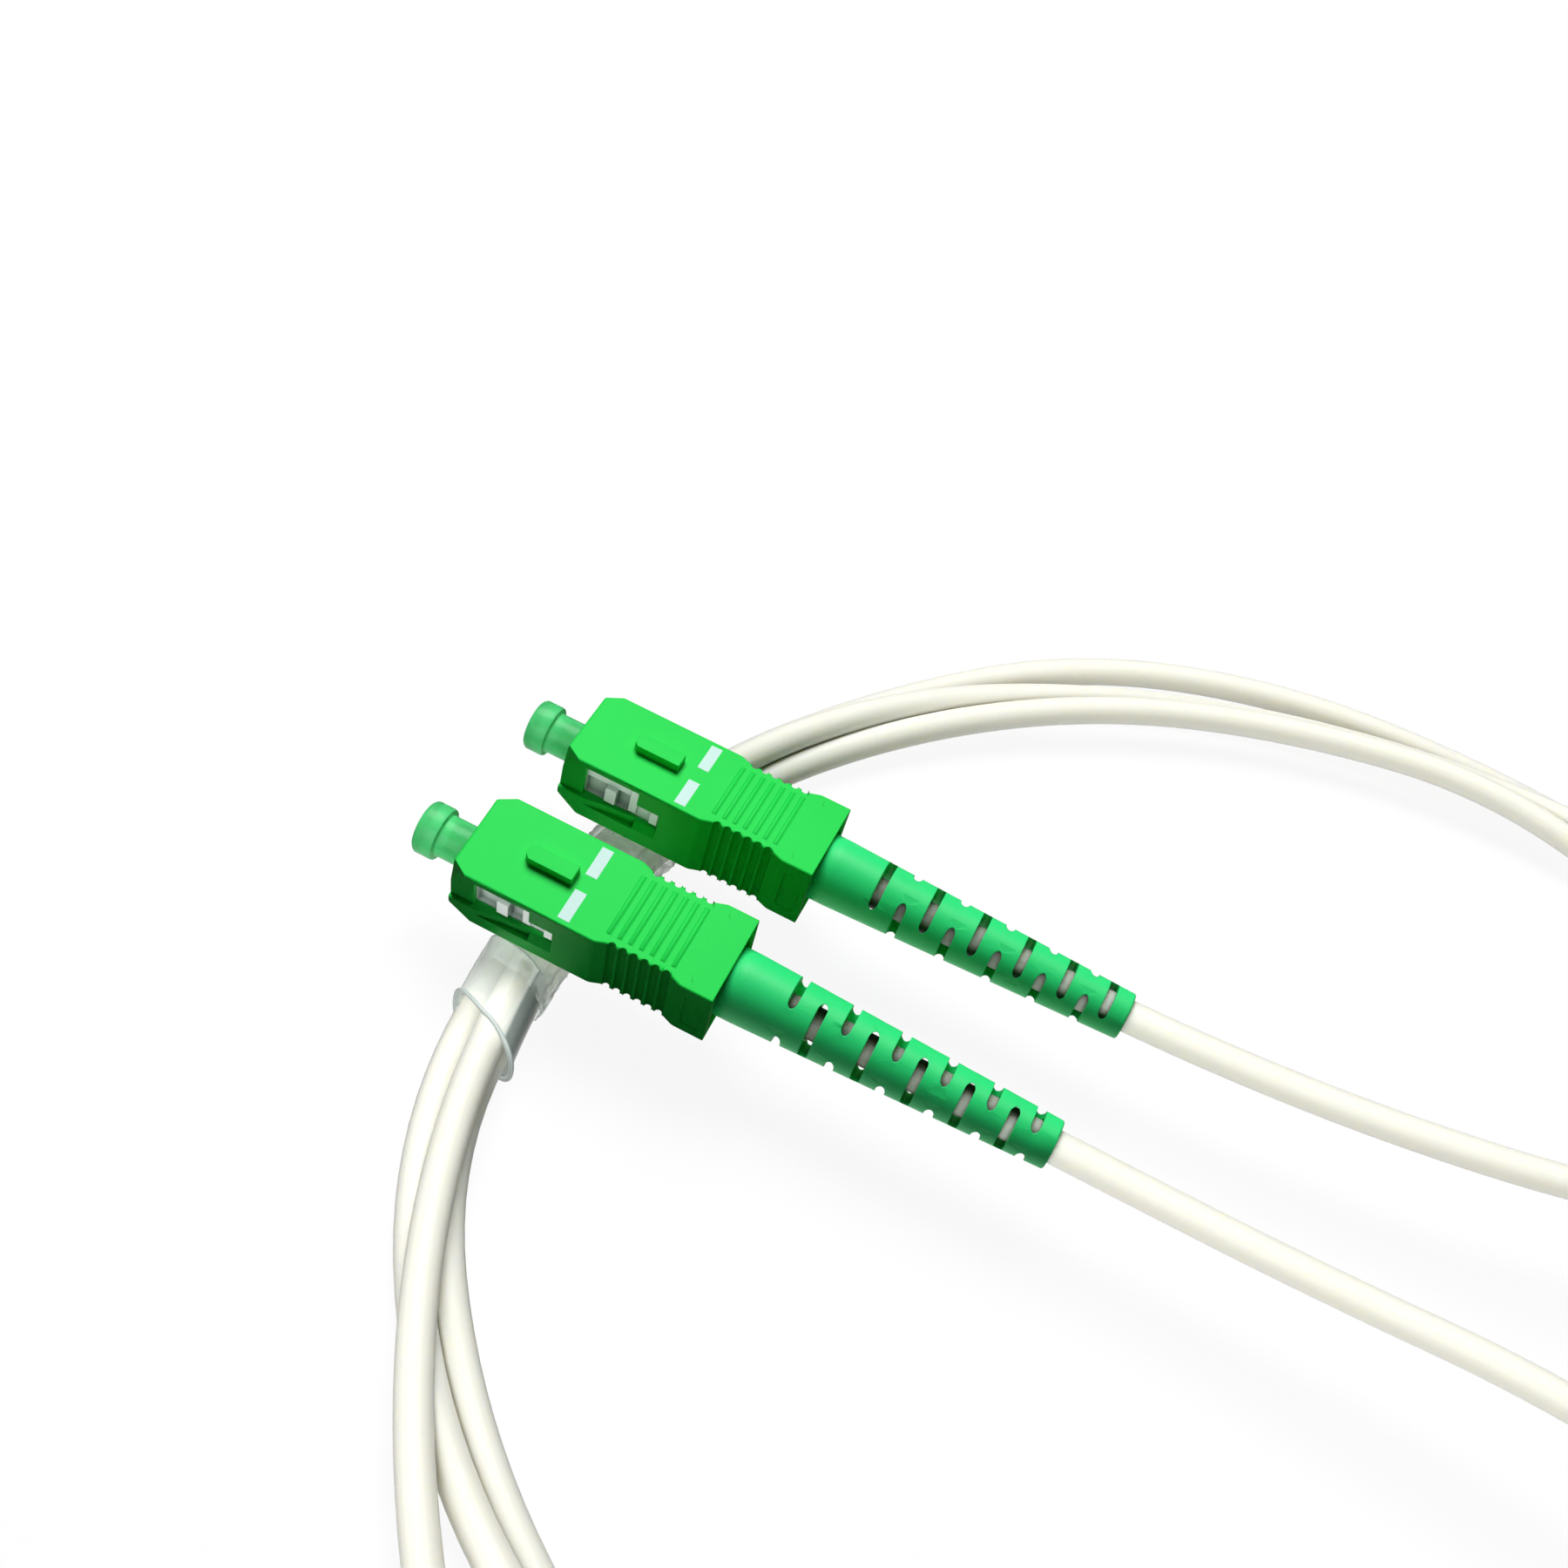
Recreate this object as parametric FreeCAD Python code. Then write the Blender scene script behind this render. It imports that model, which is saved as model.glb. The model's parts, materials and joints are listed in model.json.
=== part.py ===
"""SC/APC simplex fibre patch cord: two push-pull connectors on one round cord, wound in a loose ring.

Frame: millimetres, +Z up, the ring lies flat on Z = 0.  The origin is on that plane, under the
film that ties the ring.  Both connectors lie across the ring there, parallel to X, with their
noses towards -X and their cord leads running back over the ring's middle towards +X.
Each connector is drawn in its own frame first: x runs from the sleeve's front face to the tail,
z points to the side that carries the key.
"""
import FreeCAD, Part
import math
import os

V = FreeCAD.Vector
X_AXIS = V(1, 0, 0)
Y_AXIS = V(0, 1, 0)
Z_AXIS = V(0, 0, 1)

# ---- cord, ring and tie -------------------------------------------------------------------
CORD_DIAMETER = 3.0
RING_RADIUS = 77.0            # centreline of the wound ring
STRAND_SPREAD = 4.6           # between the two strands that lie side by side
FILM_THICKNESS = 0.3          # clear tie film round the ring
FILM_WIDTH = 30.0             # along the ring
FILM_MIDDLE = 180.2           # degrees round the ring from +X
REST_GAP = 0.25               # between a resting connector and what it lies on

# ---- grip sleeve --------------------------------------------------------------------------
SLEEVE_LENGTH = 25.0
SLEEVE_WIDTH = 9.0
SLEEVE_HEIGHT = 7.4
SIDE_WALL = 1.0
TOP_WALL = 0.85
CAVITY_CORNER = 0.3
NOSE_FACET_LENGTH = 1.65      # slanting facet on each front corner beside the top
NOSE_FACET_WIDTH = 1.05
NOSE_FACET_DROP = 2.6
CHIN_BEVEL_LENGTH = 2.3
CHIN_BEVEL_HEIGHT = 1.8
EDGE_RADIUS = 0.2
RECESS_DEPTH = 0.45           # sunk side wall round the window, under a lip along the top
RECESS_LIP = 0.65
KEY_START = 5.1
KEY_LENGTH = 4.6
KEY_WIDTH = 1.6
KEY_HEIGHT = 0.9
WINDOW_START = 2.3
WINDOW_LENGTH = 5.5
WINDOW_BOTTOM = -1.1
WINDOW_TOP = 2.6
CATCH_SLOT_LENGTH = 2.3       # narrow slot behind the window, where the frame's stop lug runs
CATCH_SLOT_TOP = 1.45
RAMP_START = 2.6              # guide ramp under the window, steeper up to its knee
RAMP_KNEE = 5.0
RAMP_KNEE_DEPTH = 0.42
RAMP_DEPTH = 0.62
RAMP_BLEND = 3.0
RAMP_HEIGHT = 0.85
SILL_DEPTH = 0.5              # sloping sill under the narrow slot
WAIST_START = 13.9
WAIST_END = 22.0
WAIST_BLEND = 1.1
WAIST_DEPTH = 0.42
WAIST_RADIUS = 1.2
GRIP_GROOVES = 6
GRIP_GROOVE_RADIUS = 0.34
GRIP_PITCH = 1.02
RIDGES = 7
RIDGE_WIDTH = 0.5
RIDGE_HEIGHT = 0.12
RIDGE_MARGIN = 0.9            # from the waist's side to a ridge's end
RIDGE_SHIFT = 0.3             # ridges in front of the side grooves
PANEL_LENGTH = 1.8            # recessed panel on each side of the rear block
PANEL_HEIGHT = 4.8
PANEL_DEPTH = 0.15
PANEL_MARGIN = 0.55
PANEL_CORNER = 0.3
REAR_POCKET_DEPTH = 2.4
REAR_POCKET_HEIGHT = 6.8
REAR_POCKET_CORNER = 0.8
GRIP_TRAVEL = 1.3             # how far the sleeve pulls back on the frame

# ---- plug frame ---------------------------------------------------------------------------
FRAME_CLEARANCE = 0.15        # frame to sleeve, each side
FRAME_SETBACK = 0.7           # frame's mouth behind the sleeve's front face
FRAME_END = 17.4
MOUTH_RADIUS = 2.25
MOUTH_CHAMFER = 0.35
FRAME_BORE_RADIUS = 2.2
WEB_THICKNESS = 1.0
WEB_HOLE_RADIUS = 1.5
LUG_LENGTH = 0.8
LUG_CLEARANCE = 0.2
LUG_HEIGHT = 1.6
LUG_REACH = 0.7
POST_GAP = 0.8                # post behind the window's front edge when the sleeve is pulled back
POST_LENGTH = 1.1
POST_REACH = 0.5
PILLAR_LENGTH = 0.8           # rear pillar, just inside the window's rear edge
PILLAR_REACH = 0.25
POCKET_TOP = 0.9
POCKET_DEPTH = 0.6
LATCH_WINDOW_START = 15.0
LATCH_WINDOW_LENGTH = 1.4
LATCH_WINDOW_WIDTH = 2.4
LATCH_CLEARANCE = 0.1

# ---- ferrule, flange and spring -----------------------------------------------------------
FERRULE_DIAMETER = 2.5
FERRULE_LENGTH = 10.5
FERRULE_TIP = -0.6            # tip, in front of the sleeve's front face
FERRULE_FREE = 6.9            # tip to the flange's front face
FERRULE_ANGLE = 8.0           # angled polish
FERRULE_CHAMFER = 0.35
FERRULE_TRAVEL = 1.0
FLANGE_LENGTH = 2.0
FLANGE_CLEARANCE = 0.1        # flange to frame bore
FLANGE_NOTCHES = 4
FLANGE_NOTCH_WIDTH = 0.9
FLANGE_NOTCH_DEPTH = 0.5
TAIL_LENGTH = 3.7
TAIL_RADIUS = 1.55
TAIL_BORE_RADIUS = 0.6
SPRING_WIRE = 0.4
SPRING_RADIUS = 1.85          # centre of the wire
SPRING_TURNS = 5.5
SPRING_SEAT = 0.05

# ---- spring stop, crimp and what runs through them -----------------------------------------
STOP_LENGTH_IN_FRAME = 3.4
STOP_CLEARANCE = 0.05
STOP_FLANGE_LENGTH = 0.7
STOP_FLANGE_RADIUS = 2.7
STOP_BARREL_LENGTH = 5.4
STOP_BARREL_RADIUS = 1.6
STOP_BORE_RADIUS = 0.8
STOP_MOUTH_RADIUS = 1.3
STOP_MOUTH_DEPTH = 1.6
KNURL_RINGS = 7
KNURL_DEPTH = 0.12
KNURL_WIDTH = 0.3
YARN_GAP = 0.02
YARN_THICKNESS = 0.2
CRIMP_WALL = 0.35
CRIMP_GAP = 0.3               # crimp ring behind the stop's flange
CRIMP_LENGTH = 6.0
CRIMP_TAPER = 0.4
CRIMP_NECK_LENGTH = 2.8
CRIMP_NECK_GAP = 0.03
GUIDE_TUBE_BORE = 0.5
GUIDE_TUBE_GAP = 0.05
BUFFER_DIAMETER = 0.9
BUFFER_RESERVE = 0.3          # beyond the ferrule's full travel

# ---- boot ---------------------------------------------------------------------------------
BOOT_END = 55.2
BOOT_NOSE_RADIUS = 2.7        # the part inside the sleeve
BOOT_COLLAR_INSET = 0.8       # collar's start, inside the sleeve's rear face
BOOT_COLLAR_RADIUS = 3.2
BOOT_COLLAR_LENGTH = 2.2
BOOT_TIP_RADIUS = 2.2
BOOT_TIP_ROUND = 0.12
BOOT_CORD_GAP = 0.15
BOOT_CRIMP_GAP = 0.1
BOOT_CONE_LENGTH = 1.0
BOOT_GAP = 0.1                # boot's nose behind the stop's flange
SLOT_STATIONS = 11
SLOT_FIRST = 30.75
SLOT_PITCH = 2.5
SLOT_PITCH_RATIO = 0.975      # each pitch to the one before
SLOT_WIDTH = 0.85
SLOT_SHARE = 0.883            # half length of a slot as a share of the boot's radius there

# ---- dust cap -----------------------------------------------------------------------------
CAP_FRONT = -5.05
CAP_HEAD_LENGTH = 2.1
CAP_HEAD_RADIUS = 2.45
CAP_HEAD_ROUND = 0.3
CAP_TUBE_RADIUS = 1.95
CAP_TUBE_END = 4.0
CAP_BORE_GAP = 0.03
CAP_TIP_ROOM = 1.7            # bore's end beyond the ferrule's tip

# ---- where the two connectors lie: sleeve front face, axis and roll about the axis ----------
FRONT_NOSE_X = -8.8
FRONT_AXIS_Y = -2.36
FRONT_ROLL = 10.0
FRONT_BOOT_ROLL = -28.0
BACK_NOSE_X = -7.14
BACK_AXIS_Y = 14.46
BACK_ROLL = 3.0
BACK_BOOT_ROLL = 10.0

# ---- worked out from the sizes above --------------------------------------------------------
CORD_RADIUS = CORD_DIAMETER / 2
STRAND_FLOOR = FILM_THICKNESS + CORD_RADIUS
STRAND_RISE = math.sqrt(CORD_DIAMETER ** 2 - (STRAND_SPREAD / 2) ** 2)
RING_TOP = STRAND_FLOOR + STRAND_RISE + CORD_RADIUS
HALF_WIDTH = SLEEVE_WIDTH / 2
HALF_HEIGHT = SLEEVE_HEIGHT / 2
FRAME_WIDTH = SLEEVE_WIDTH - 2 * SIDE_WALL - 2 * FRAME_CLEARANCE
FRAME_HEIGHT = SLEEVE_HEIGHT - 2 * TOP_WALL - 2 * FRAME_CLEARANCE
WINDOW_END = WINDOW_START + WINDOW_LENGTH
CATCH_SLOT_END = WINDOW_END + CATCH_SLOT_LENGTH
FLANGE_FRONT = FERRULE_TIP + FERRULE_FREE
FLANGE_END = FLANGE_FRONT + FLANGE_LENGTH
TAIL_END = FLANGE_END + TAIL_LENGTH
FERRULE_END = FERRULE_TIP + FERRULE_LENGTH
STOP_FRONT = FRAME_END - STOP_LENGTH_IN_FRAME
STOP_FLANGE_END = FRAME_END + STOP_FLANGE_LENGTH
BARREL_END = STOP_FLANGE_END + STOP_BARREL_LENGTH
YARN_INNER = STOP_BARREL_RADIUS + YARN_GAP
YARN_OUTER = YARN_INNER + YARN_THICKNESS
CRIMP_BORE = YARN_OUTER + YARN_GAP
CRIMP_RADIUS = CRIMP_BORE + CRIMP_WALL
CRIMP_START = STOP_FLANGE_END + CRIMP_GAP
CRIMP_END = CRIMP_START + CRIMP_LENGTH
NECK_END = CRIMP_END + CRIMP_NECK_LENGTH
NECK_BORE = CORD_RADIUS + CRIMP_NECK_GAP
BOOT_START = STOP_FLANGE_END + BOOT_GAP
COLLAR_START = SLEEVE_LENGTH - BOOT_COLLAR_INSET
TAPER_START = COLLAR_START + BOOT_COLLAR_LENGTH
JACKET_START = CRIMP_END + CRIMP_NECK_GAP


def axis_height(roll, ground):
    """Height of a sleeve's axis when its lowest edge lies a rest gap above the ground."""
    lean = math.radians(abs(roll))
    return ground + REST_GAP + HALF_WIDTH * math.sin(lean) + HALF_HEIGHT * math.cos(lean)


FRONT_AXIS_Z = axis_height(FRONT_ROLL, RING_TOP + FILM_THICKNESS)
BACK_AXIS_Z = axis_height(BACK_ROLL, RING_TOP + FILM_THICKNESS)

# ---- cord leads: points of each route, from the crimp to the ring ----------------------------
LEAD_START_FRONT = FRONT_NOSE_X + JACKET_START
LEAD_START_BACK = BACK_NOSE_X + JACKET_START
FRONT_ROUTE = [
    (LEAD_START_FRONT, FRONT_AXIS_Y, FRONT_AXIS_Z), (33.5, FRONT_AXIS_Y, FRONT_AXIS_Z),
    (51.5, FRONT_AXIS_Y - 0.09, FRONT_AXIS_Z - 0.1), (70.5, -2.85, 10.7), (89.0, -3.5, 12.8),
    (106.3, -6.8, 14.0), (121.2, -15.3, 13.2), (130.0, -29.8, 11.4), (130.8, -46.9, 9.4),
    (121.5, -63.1, 7.3), (105.6, -71.6, 4.2)]
BACK_ROUTE = [
    (LEAD_START_BACK, BACK_AXIS_Y, BACK_AXIS_Z), (35.0, BACK_AXIS_Y, BACK_AXIS_Z),
    (53.0, BACK_AXIS_Y + 0.12, BACK_AXIS_Z + 0.04), (71.5, 16.0, 10.2), (90.0, 18.8, 11.3),
    (107.2, 24.6, 11.6), (119.8, 34.2, 10.9), (124.9, 46.8, 9.8), (122.3, 59.5, 8.4),
    (113.9, 69.4, 6.8), (102.0, 73.6, 4.3)]


# ---- small shape helpers ---------------------------------------------------------------------
def block(x0, x1, y0, y1, z0, z1):
    return Part.makeBox(x1 - x0, y1 - y0, z1 - z0, V(x0, y0, z0))


def rod(radius, x0, x1):
    return Part.makeCylinder(radius, x1 - x0, V(x0, 0, 0), X_AXIS)


def turned(profile):
    """Solid of revolution about x from (x, radius) points."""
    wire = Part.makePolygon([V(x, r, 0) for x, r in profile + profile[:1]])
    return Part.Face(wire).revolve(V(0, 0, 0), X_AXIS, 360)


def rounded_wire(points, radii, place):
    """Closed wire through plane points, each corner rounded by its radius; place makes a vector."""
    edges = []
    arcs = []
    count = len(points)
    for i in range(count):
        here = V(points[i][0], points[i][1], 0)
        to_last = V(*points[i - 1], 0) - here
        to_next = V(*points[(i + 1) % count], 0) - here
        to_last.normalize()
        to_next.normalize()
        if radii[i] == 0:
            arcs.append((here, None, here))
            continue
        half = to_last.getAngle(to_next) / 2
        reach = radii[i] / math.tan(half)
        middle = to_last + to_next
        middle.normalize()
        apex = here + middle * (radii[i] / math.sin(half) - radii[i])
        arcs.append((here + to_last * reach, apex, here + to_next * reach))
    for i in range(count):
        start, apex, end = arcs[i]
        if apex is not None:
            edges.append(Part.Arc(place(start), place(apex), place(end)).toShape())
        following = arcs[(i + 1) % count][0]
        if end.distanceToPoint(following) > 1e-7:
            edges.append(Part.makeLine(place(end), place(following)))
    return Part.Wire(edges)


def rounded_tube(x0, x1, width, height, radius):
    """Bar along x with a rounded rectangular section."""
    y, z = width / 2, height / 2
    wire = rounded_wire([(-y, -z), (y, -z), (y, z), (-y, z)], [radius] * 4,
                        lambda p: V(x0, p.x, p.y))
    return Part.Face(wire).extrude(V(x1 - x0, 0, 0))


def side_prism(points, y0, y1, radius=0):
    """Prism of an (x, z) outline between two y planes, all its corners rounded alike."""
    wire = rounded_wire(points, [radius] * len(points), lambda p: V(p.x, y0, p.y))
    return Part.Face(wire).extrude(V(0, y1 - y0, 0))


def plan_prism(points, radii, z0, z1):
    """Prism of an (x, y) outline between two z planes."""
    wire = rounded_wire(points, radii, lambda p: V(p.x, p.y, z0))
    return Part.Face(wire).extrude(V(0, 0, z1 - z0))


def mirrored_pair(shape):
    return [shape, shape.mirror(V(0, 0, 0), Y_AXIS)]


# ---- the connector's pieces, in the connector's own frame ------------------------------------
def make_grip_sleeve():
    waist = HALF_WIDTH - WAIST_DEPTH
    near = [(0, HALF_WIDTH), (WAIST_START, HALF_WIDTH), (WAIST_START + WAIST_BLEND, waist),
            (WAIST_END - WAIST_BLEND, waist), (WAIST_END, HALF_WIDTH),
            (SLEEVE_LENGTH, HALF_WIDTH)]
    rounds = [EDGE_RADIUS, WAIST_RADIUS, WAIST_RADIUS, WAIST_RADIUS, WAIST_RADIUS, 0]
    outline = near + [(x, -y) for x, y in reversed(near)]
    body = plan_prism(outline, rounds + rounds[::-1], -HALF_HEIGHT, HALF_HEIGHT)
    rims = [edge for edge in body.Edges
            if edge.BoundBox.ZLength < 1e-6
            and (edge.BoundBox.XMax < SLEEVE_LENGTH - 1e-6 or edge.BoundBox.XLength > 1)]
    body = body.makeFillet(min(EDGE_RADIUS, TOP_WALL / 2), rims)
    chin = side_prism([(-1, -HALF_HEIGHT - 1), (CHIN_BEVEL_LENGTH, -HALF_HEIGHT - 1),
                       (CHIN_BEVEL_LENGTH, -HALF_HEIGHT),
                       (0, -HALF_HEIGHT + CHIN_BEVEL_HEIGHT), (-1, -HALF_HEIGHT + CHIN_BEVEL_HEIGHT)],
                      -SLEEVE_WIDTH, SLEEVE_WIDTH)
    body = body.cut(chin)
    body = body.fuse(make_key())
    body = body.fuse(make_ridges()).removeSplitter()
    cavity_width = SLEEVE_WIDTH - 2 * SIDE_WALL
    cavity = rounded_tube(-1, SLEEVE_LENGTH + 1, cavity_width, SLEEVE_HEIGHT - 2 * TOP_WALL,
                          CAVITY_CORNER)
    pocket = rounded_tube(SLEEVE_LENGTH - REAR_POCKET_DEPTH, SLEEVE_LENGTH + 1, cavity_width,
                          REAR_POCKET_HEIGHT, REAR_POCKET_CORNER)
    body = body.cut(cavity).cut(pocket)
    middle = (WAIST_START + WAIST_END) / 2
    side_cuts = [make_nose_facet(), make_side_recess(), make_side_panel()] + make_guide_ramp()
    for i in range(GRIP_GROOVES):
        x = middle + (i - (GRIP_GROOVES - 1) / 2) * GRIP_PITCH
        side_cuts.append(Part.makeCylinder(GRIP_GROOVE_RADIUS, 2 * SLEEVE_HEIGHT,
                                           V(x, waist, -SLEEVE_HEIGHT), Z_AXIS))
    side_cuts.append(side_prism([(WINDOW_START, WINDOW_BOTTOM), (CATCH_SLOT_END, WINDOW_BOTTOM),
                                 (CATCH_SLOT_END, CATCH_SLOT_TOP), (WINDOW_END, CATCH_SLOT_TOP),
                                 (WINDOW_END, WINDOW_TOP), (WINDOW_START, WINDOW_TOP)],
                                cavity_width / 2 - SIDE_WALL / 2, SLEEVE_WIDTH))
    for cut in side_cuts:
        for tool in mirrored_pair(cut):
            body = body.cut(tool)
    return body


def make_nose_facet():
    """What a slanting facet takes off a front corner: widest at the top, gone lower down."""
    top_front = V(0, HALF_WIDTH - NOSE_FACET_WIDTH, HALF_HEIGHT)
    top_side = V(NOSE_FACET_LENGTH, HALF_WIDTH, HALF_HEIGHT)
    low = V(0, HALF_WIDTH - RECESS_DEPTH, HALF_HEIGHT - NOSE_FACET_DROP)
    outward = (top_side - top_front).cross(low - top_front)
    outward.normalize()
    middle = (top_front + top_side + low) * (1 / 3)
    corners = [middle + (corner - middle) * 5 for corner in (top_front, top_side, low)]
    return Part.Face(Part.makePolygon(corners + corners[:1])).extrude(outward * SLEEVE_WIDTH)


def make_side_recess():
    """The side wall is sunk from the front face to the window's rear edge, above the guide ramp."""
    return block(-1, WINDOW_END, HALF_WIDTH - RECESS_DEPTH, SLEEVE_WIDTH,
                 WINDOW_BOTTOM, HALF_HEIGHT - RECESS_LIP)


def make_guide_ramp():
    """Under the window: a ramp that deepens backwards, and a sloping sill under the narrow slot."""
    bottom = WINDOW_BOTTOM - RAMP_HEIGHT
    ramp = plan_prism([(RAMP_START, HALF_WIDTH), (RAMP_KNEE, HALF_WIDTH - RAMP_KNEE_DEPTH),
                       (WINDOW_END, HALF_WIDTH - RAMP_DEPTH), (WINDOW_END, SLEEVE_WIDTH),
                       (RAMP_START, SLEEVE_WIDTH)], [0, RAMP_BLEND, 0, 0, 0], bottom, WINDOW_BOTTOM)
    corners = [V(WINDOW_END, HALF_WIDTH, bottom), V(WINDOW_END, HALF_WIDTH, WINDOW_BOTTOM),
               V(WINDOW_END, HALF_WIDTH - SILL_DEPTH, WINDOW_BOTTOM)]
    sill = Part.Face(Part.makePolygon(corners + corners[:1])).extrude(V(CATCH_SLOT_LENGTH, 0, 0))
    return [ramp, sill]


def make_side_panel():
    """Bare sunk panel with rounded corners on the side of the rear block."""
    end = SLEEVE_LENGTH - PANEL_MARGIN
    start = end - PANEL_LENGTH
    top = PANEL_HEIGHT / 2
    return side_prism([(start, -top), (end, -top), (end, top), (start, top)],
                      HALF_WIDTH - PANEL_DEPTH, SLEEVE_WIDTH, PANEL_CORNER)


def make_key():
    """Raised key on the sleeve's top, with clipped front corners."""
    y = KEY_WIDTH / 2
    clip = y / 2
    end = KEY_START + KEY_LENGTH
    outline = [(KEY_START, -y + clip), (KEY_START + clip, -y), (end, -y),
               (end, y), (KEY_START + clip, y), (KEY_START, y - clip)]
    return plan_prism(outline, [0] * len(outline), HALF_HEIGHT - TOP_WALL / 2, HALF_HEIGHT + KEY_HEIGHT)


def make_ridges():
    """Low round-topped ridges across the top and bottom of the grip."""
    radius = (RIDGE_WIDTH ** 2 / 4 + RIDGE_HEIGHT ** 2) / (2 * RIDGE_HEIGHT)
    half_length = HALF_WIDTH - WAIST_DEPTH - RIDGE_MARGIN
    middle = (WAIST_START + WAIST_END) / 2 - RIDGE_SHIFT
    z = HALF_HEIGHT + RIDGE_HEIGHT - radius
    ridges = []
    for i in range(RIDGES):
        x = middle + (i - (RIDGES - 1) / 2) * GRIP_PITCH
        half = RIDGE_WIDTH / 2
        start, end = V(x - half, -half_length, HALF_HEIGHT), V(x + half, -half_length, HALF_HEIGHT)
        arc = Part.Arc(start, V(x, -half_length, z + radius), end).toShape()
        root = [V(x + half, -half_length, HALF_HEIGHT - RIDGE_HEIGHT),
                V(x - half, -half_length, HALF_HEIGHT - RIDGE_HEIGHT)]
        sides = [Part.makeLine(end, root[0]), Part.makeLine(root[0], root[1]),
                 Part.makeLine(root[1], start)]
        ridge = Part.Face(Part.Wire([arc] + sides)).extrude(V(0, 2 * half_length, 0))
        ridges += [ridge, ridge.mirror(V(0, 0, 0), Z_AXIS)]
    return ridges


def make_plug_frame():
    """Inner body; in each side window stand a post and a pillar, with pockets before and between."""
    half_width, half_height = FRAME_WIDTH / 2, FRAME_HEIGHT / 2
    body = rounded_tube(FRAME_SETBACK, FRAME_END, FRAME_WIDTH, FRAME_HEIGHT, CAVITY_CORNER)
    lug_end = CATCH_SLOT_END - LUG_CLEARANCE
    slot_middle = (WINDOW_BOTTOM + CATCH_SLOT_TOP) / 2
    lug = block(lug_end - LUG_LENGTH, lug_end, half_width - LUG_CLEARANCE, half_width + LUG_REACH,
                slot_middle - LUG_HEIGHT / 2, slot_middle + LUG_HEIGHT / 2)
    post_start = WINDOW_START + GRIP_TRAVEL + POST_GAP
    post_end = post_start + POST_LENGTH
    pillar_end = WINDOW_END - LUG_CLEARANCE
    pillar_start = pillar_end - PILLAR_LENGTH
    low, top = WINDOW_BOTTOM + LUG_CLEARANCE, WINDOW_TOP - LUG_CLEARANCE
    post = block(post_start, post_end, half_width - POCKET_DEPTH, half_width + POST_REACH,
                 low, POCKET_TOP)
    pillar = block(pillar_start, pillar_end, half_width - POCKET_DEPTH, half_width + PILLAR_REACH,
                   low, top)
    pockets = [block(WINDOW_START, post_start, half_width - POCKET_DEPTH, half_width + 1,
                     WINDOW_BOTTOM - LUG_CLEARANCE, POCKET_TOP),
               block(post_end, pillar_start, half_width - POCKET_DEPTH, half_width + 1,
                     WINDOW_BOTTOM - LUG_CLEARANCE, POCKET_TOP)]
    for pocket in pockets:
        for tool in mirrored_pair(pocket):
            body = body.cut(tool)
    for added in (lug, post, pillar):
        for piece in mirrored_pair(added):
            body = body.fuse(piece)
    web_front = FLANGE_FRONT - WEB_THICKNESS
    bore = turned([(FRAME_SETBACK - 1, 0), (FRAME_SETBACK - 1, MOUTH_RADIUS + MOUTH_CHAMFER),
                   (FRAME_SETBACK, MOUTH_RADIUS + MOUTH_CHAMFER),
                   (FRAME_SETBACK + MOUTH_CHAMFER, MOUTH_RADIUS), (web_front, MOUTH_RADIUS),
                   (web_front, WEB_HOLE_RADIUS), (FLANGE_FRONT, WEB_HOLE_RADIUS),
                   (FLANGE_FRONT, FRAME_BORE_RADIUS), (FRAME_END + 1, FRAME_BORE_RADIUS),
                   (FRAME_END + 1, 0)])
    latch = block(LATCH_WINDOW_START, LATCH_WINDOW_START + LATCH_WINDOW_LENGTH,
                  -LATCH_WINDOW_WIDTH / 2, LATCH_WINDOW_WIDTH / 2, -half_height - 1, half_height + 1)
    return body.cut(bore).cut(latch)


def make_ferrule():
    radius = FERRULE_DIAMETER / 2
    body = turned([(FERRULE_TIP, 0), (FERRULE_TIP, radius - FERRULE_CHAMFER),
                   (FERRULE_TIP + FERRULE_CHAMFER, radius), (FERRULE_END, radius), (FERRULE_END, 0)])
    slope = math.tan(math.radians(FERRULE_ANGLE))
    tip = side_prism([(FERRULE_TIP - 1, radius + 1), (FERRULE_TIP + (radius + 1) * slope, radius + 1),
                      (FERRULE_TIP, 0), (FERRULE_TIP - (radius + 1) * slope, -radius - 1),
                      (FERRULE_TIP - 1, -radius - 1)], -radius - 1, radius + 1)
    return body.cut(tip)


def make_ferrule_flange():
    radius = FRAME_BORE_RADIUS - FLANGE_CLEARANCE
    ferrule_radius = FERRULE_DIAMETER / 2
    body = turned([(FLANGE_FRONT, ferrule_radius), (FLANGE_FRONT, radius), (FLANGE_END, radius),
                   (FLANGE_END, TAIL_RADIUS), (TAIL_END, TAIL_RADIUS), (TAIL_END, TAIL_BORE_RADIUS),
                   (FERRULE_END, TAIL_BORE_RADIUS), (FERRULE_END, ferrule_radius)])
    for i in range(FLANGE_NOTCHES):
        notch = block(FLANGE_FRONT - 1, FLANGE_END - FLANGE_NOTCH_DEPTH,
                      -FLANGE_NOTCH_WIDTH / 2, FLANGE_NOTCH_WIDTH / 2,
                      radius - FLANGE_NOTCH_DEPTH, radius + 1)
        notch.rotate(V(0, 0, 0), X_AXIS, 360 * (i + 0.5) / FLANGE_NOTCHES)
        body = body.cut(notch)
    return body


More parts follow.
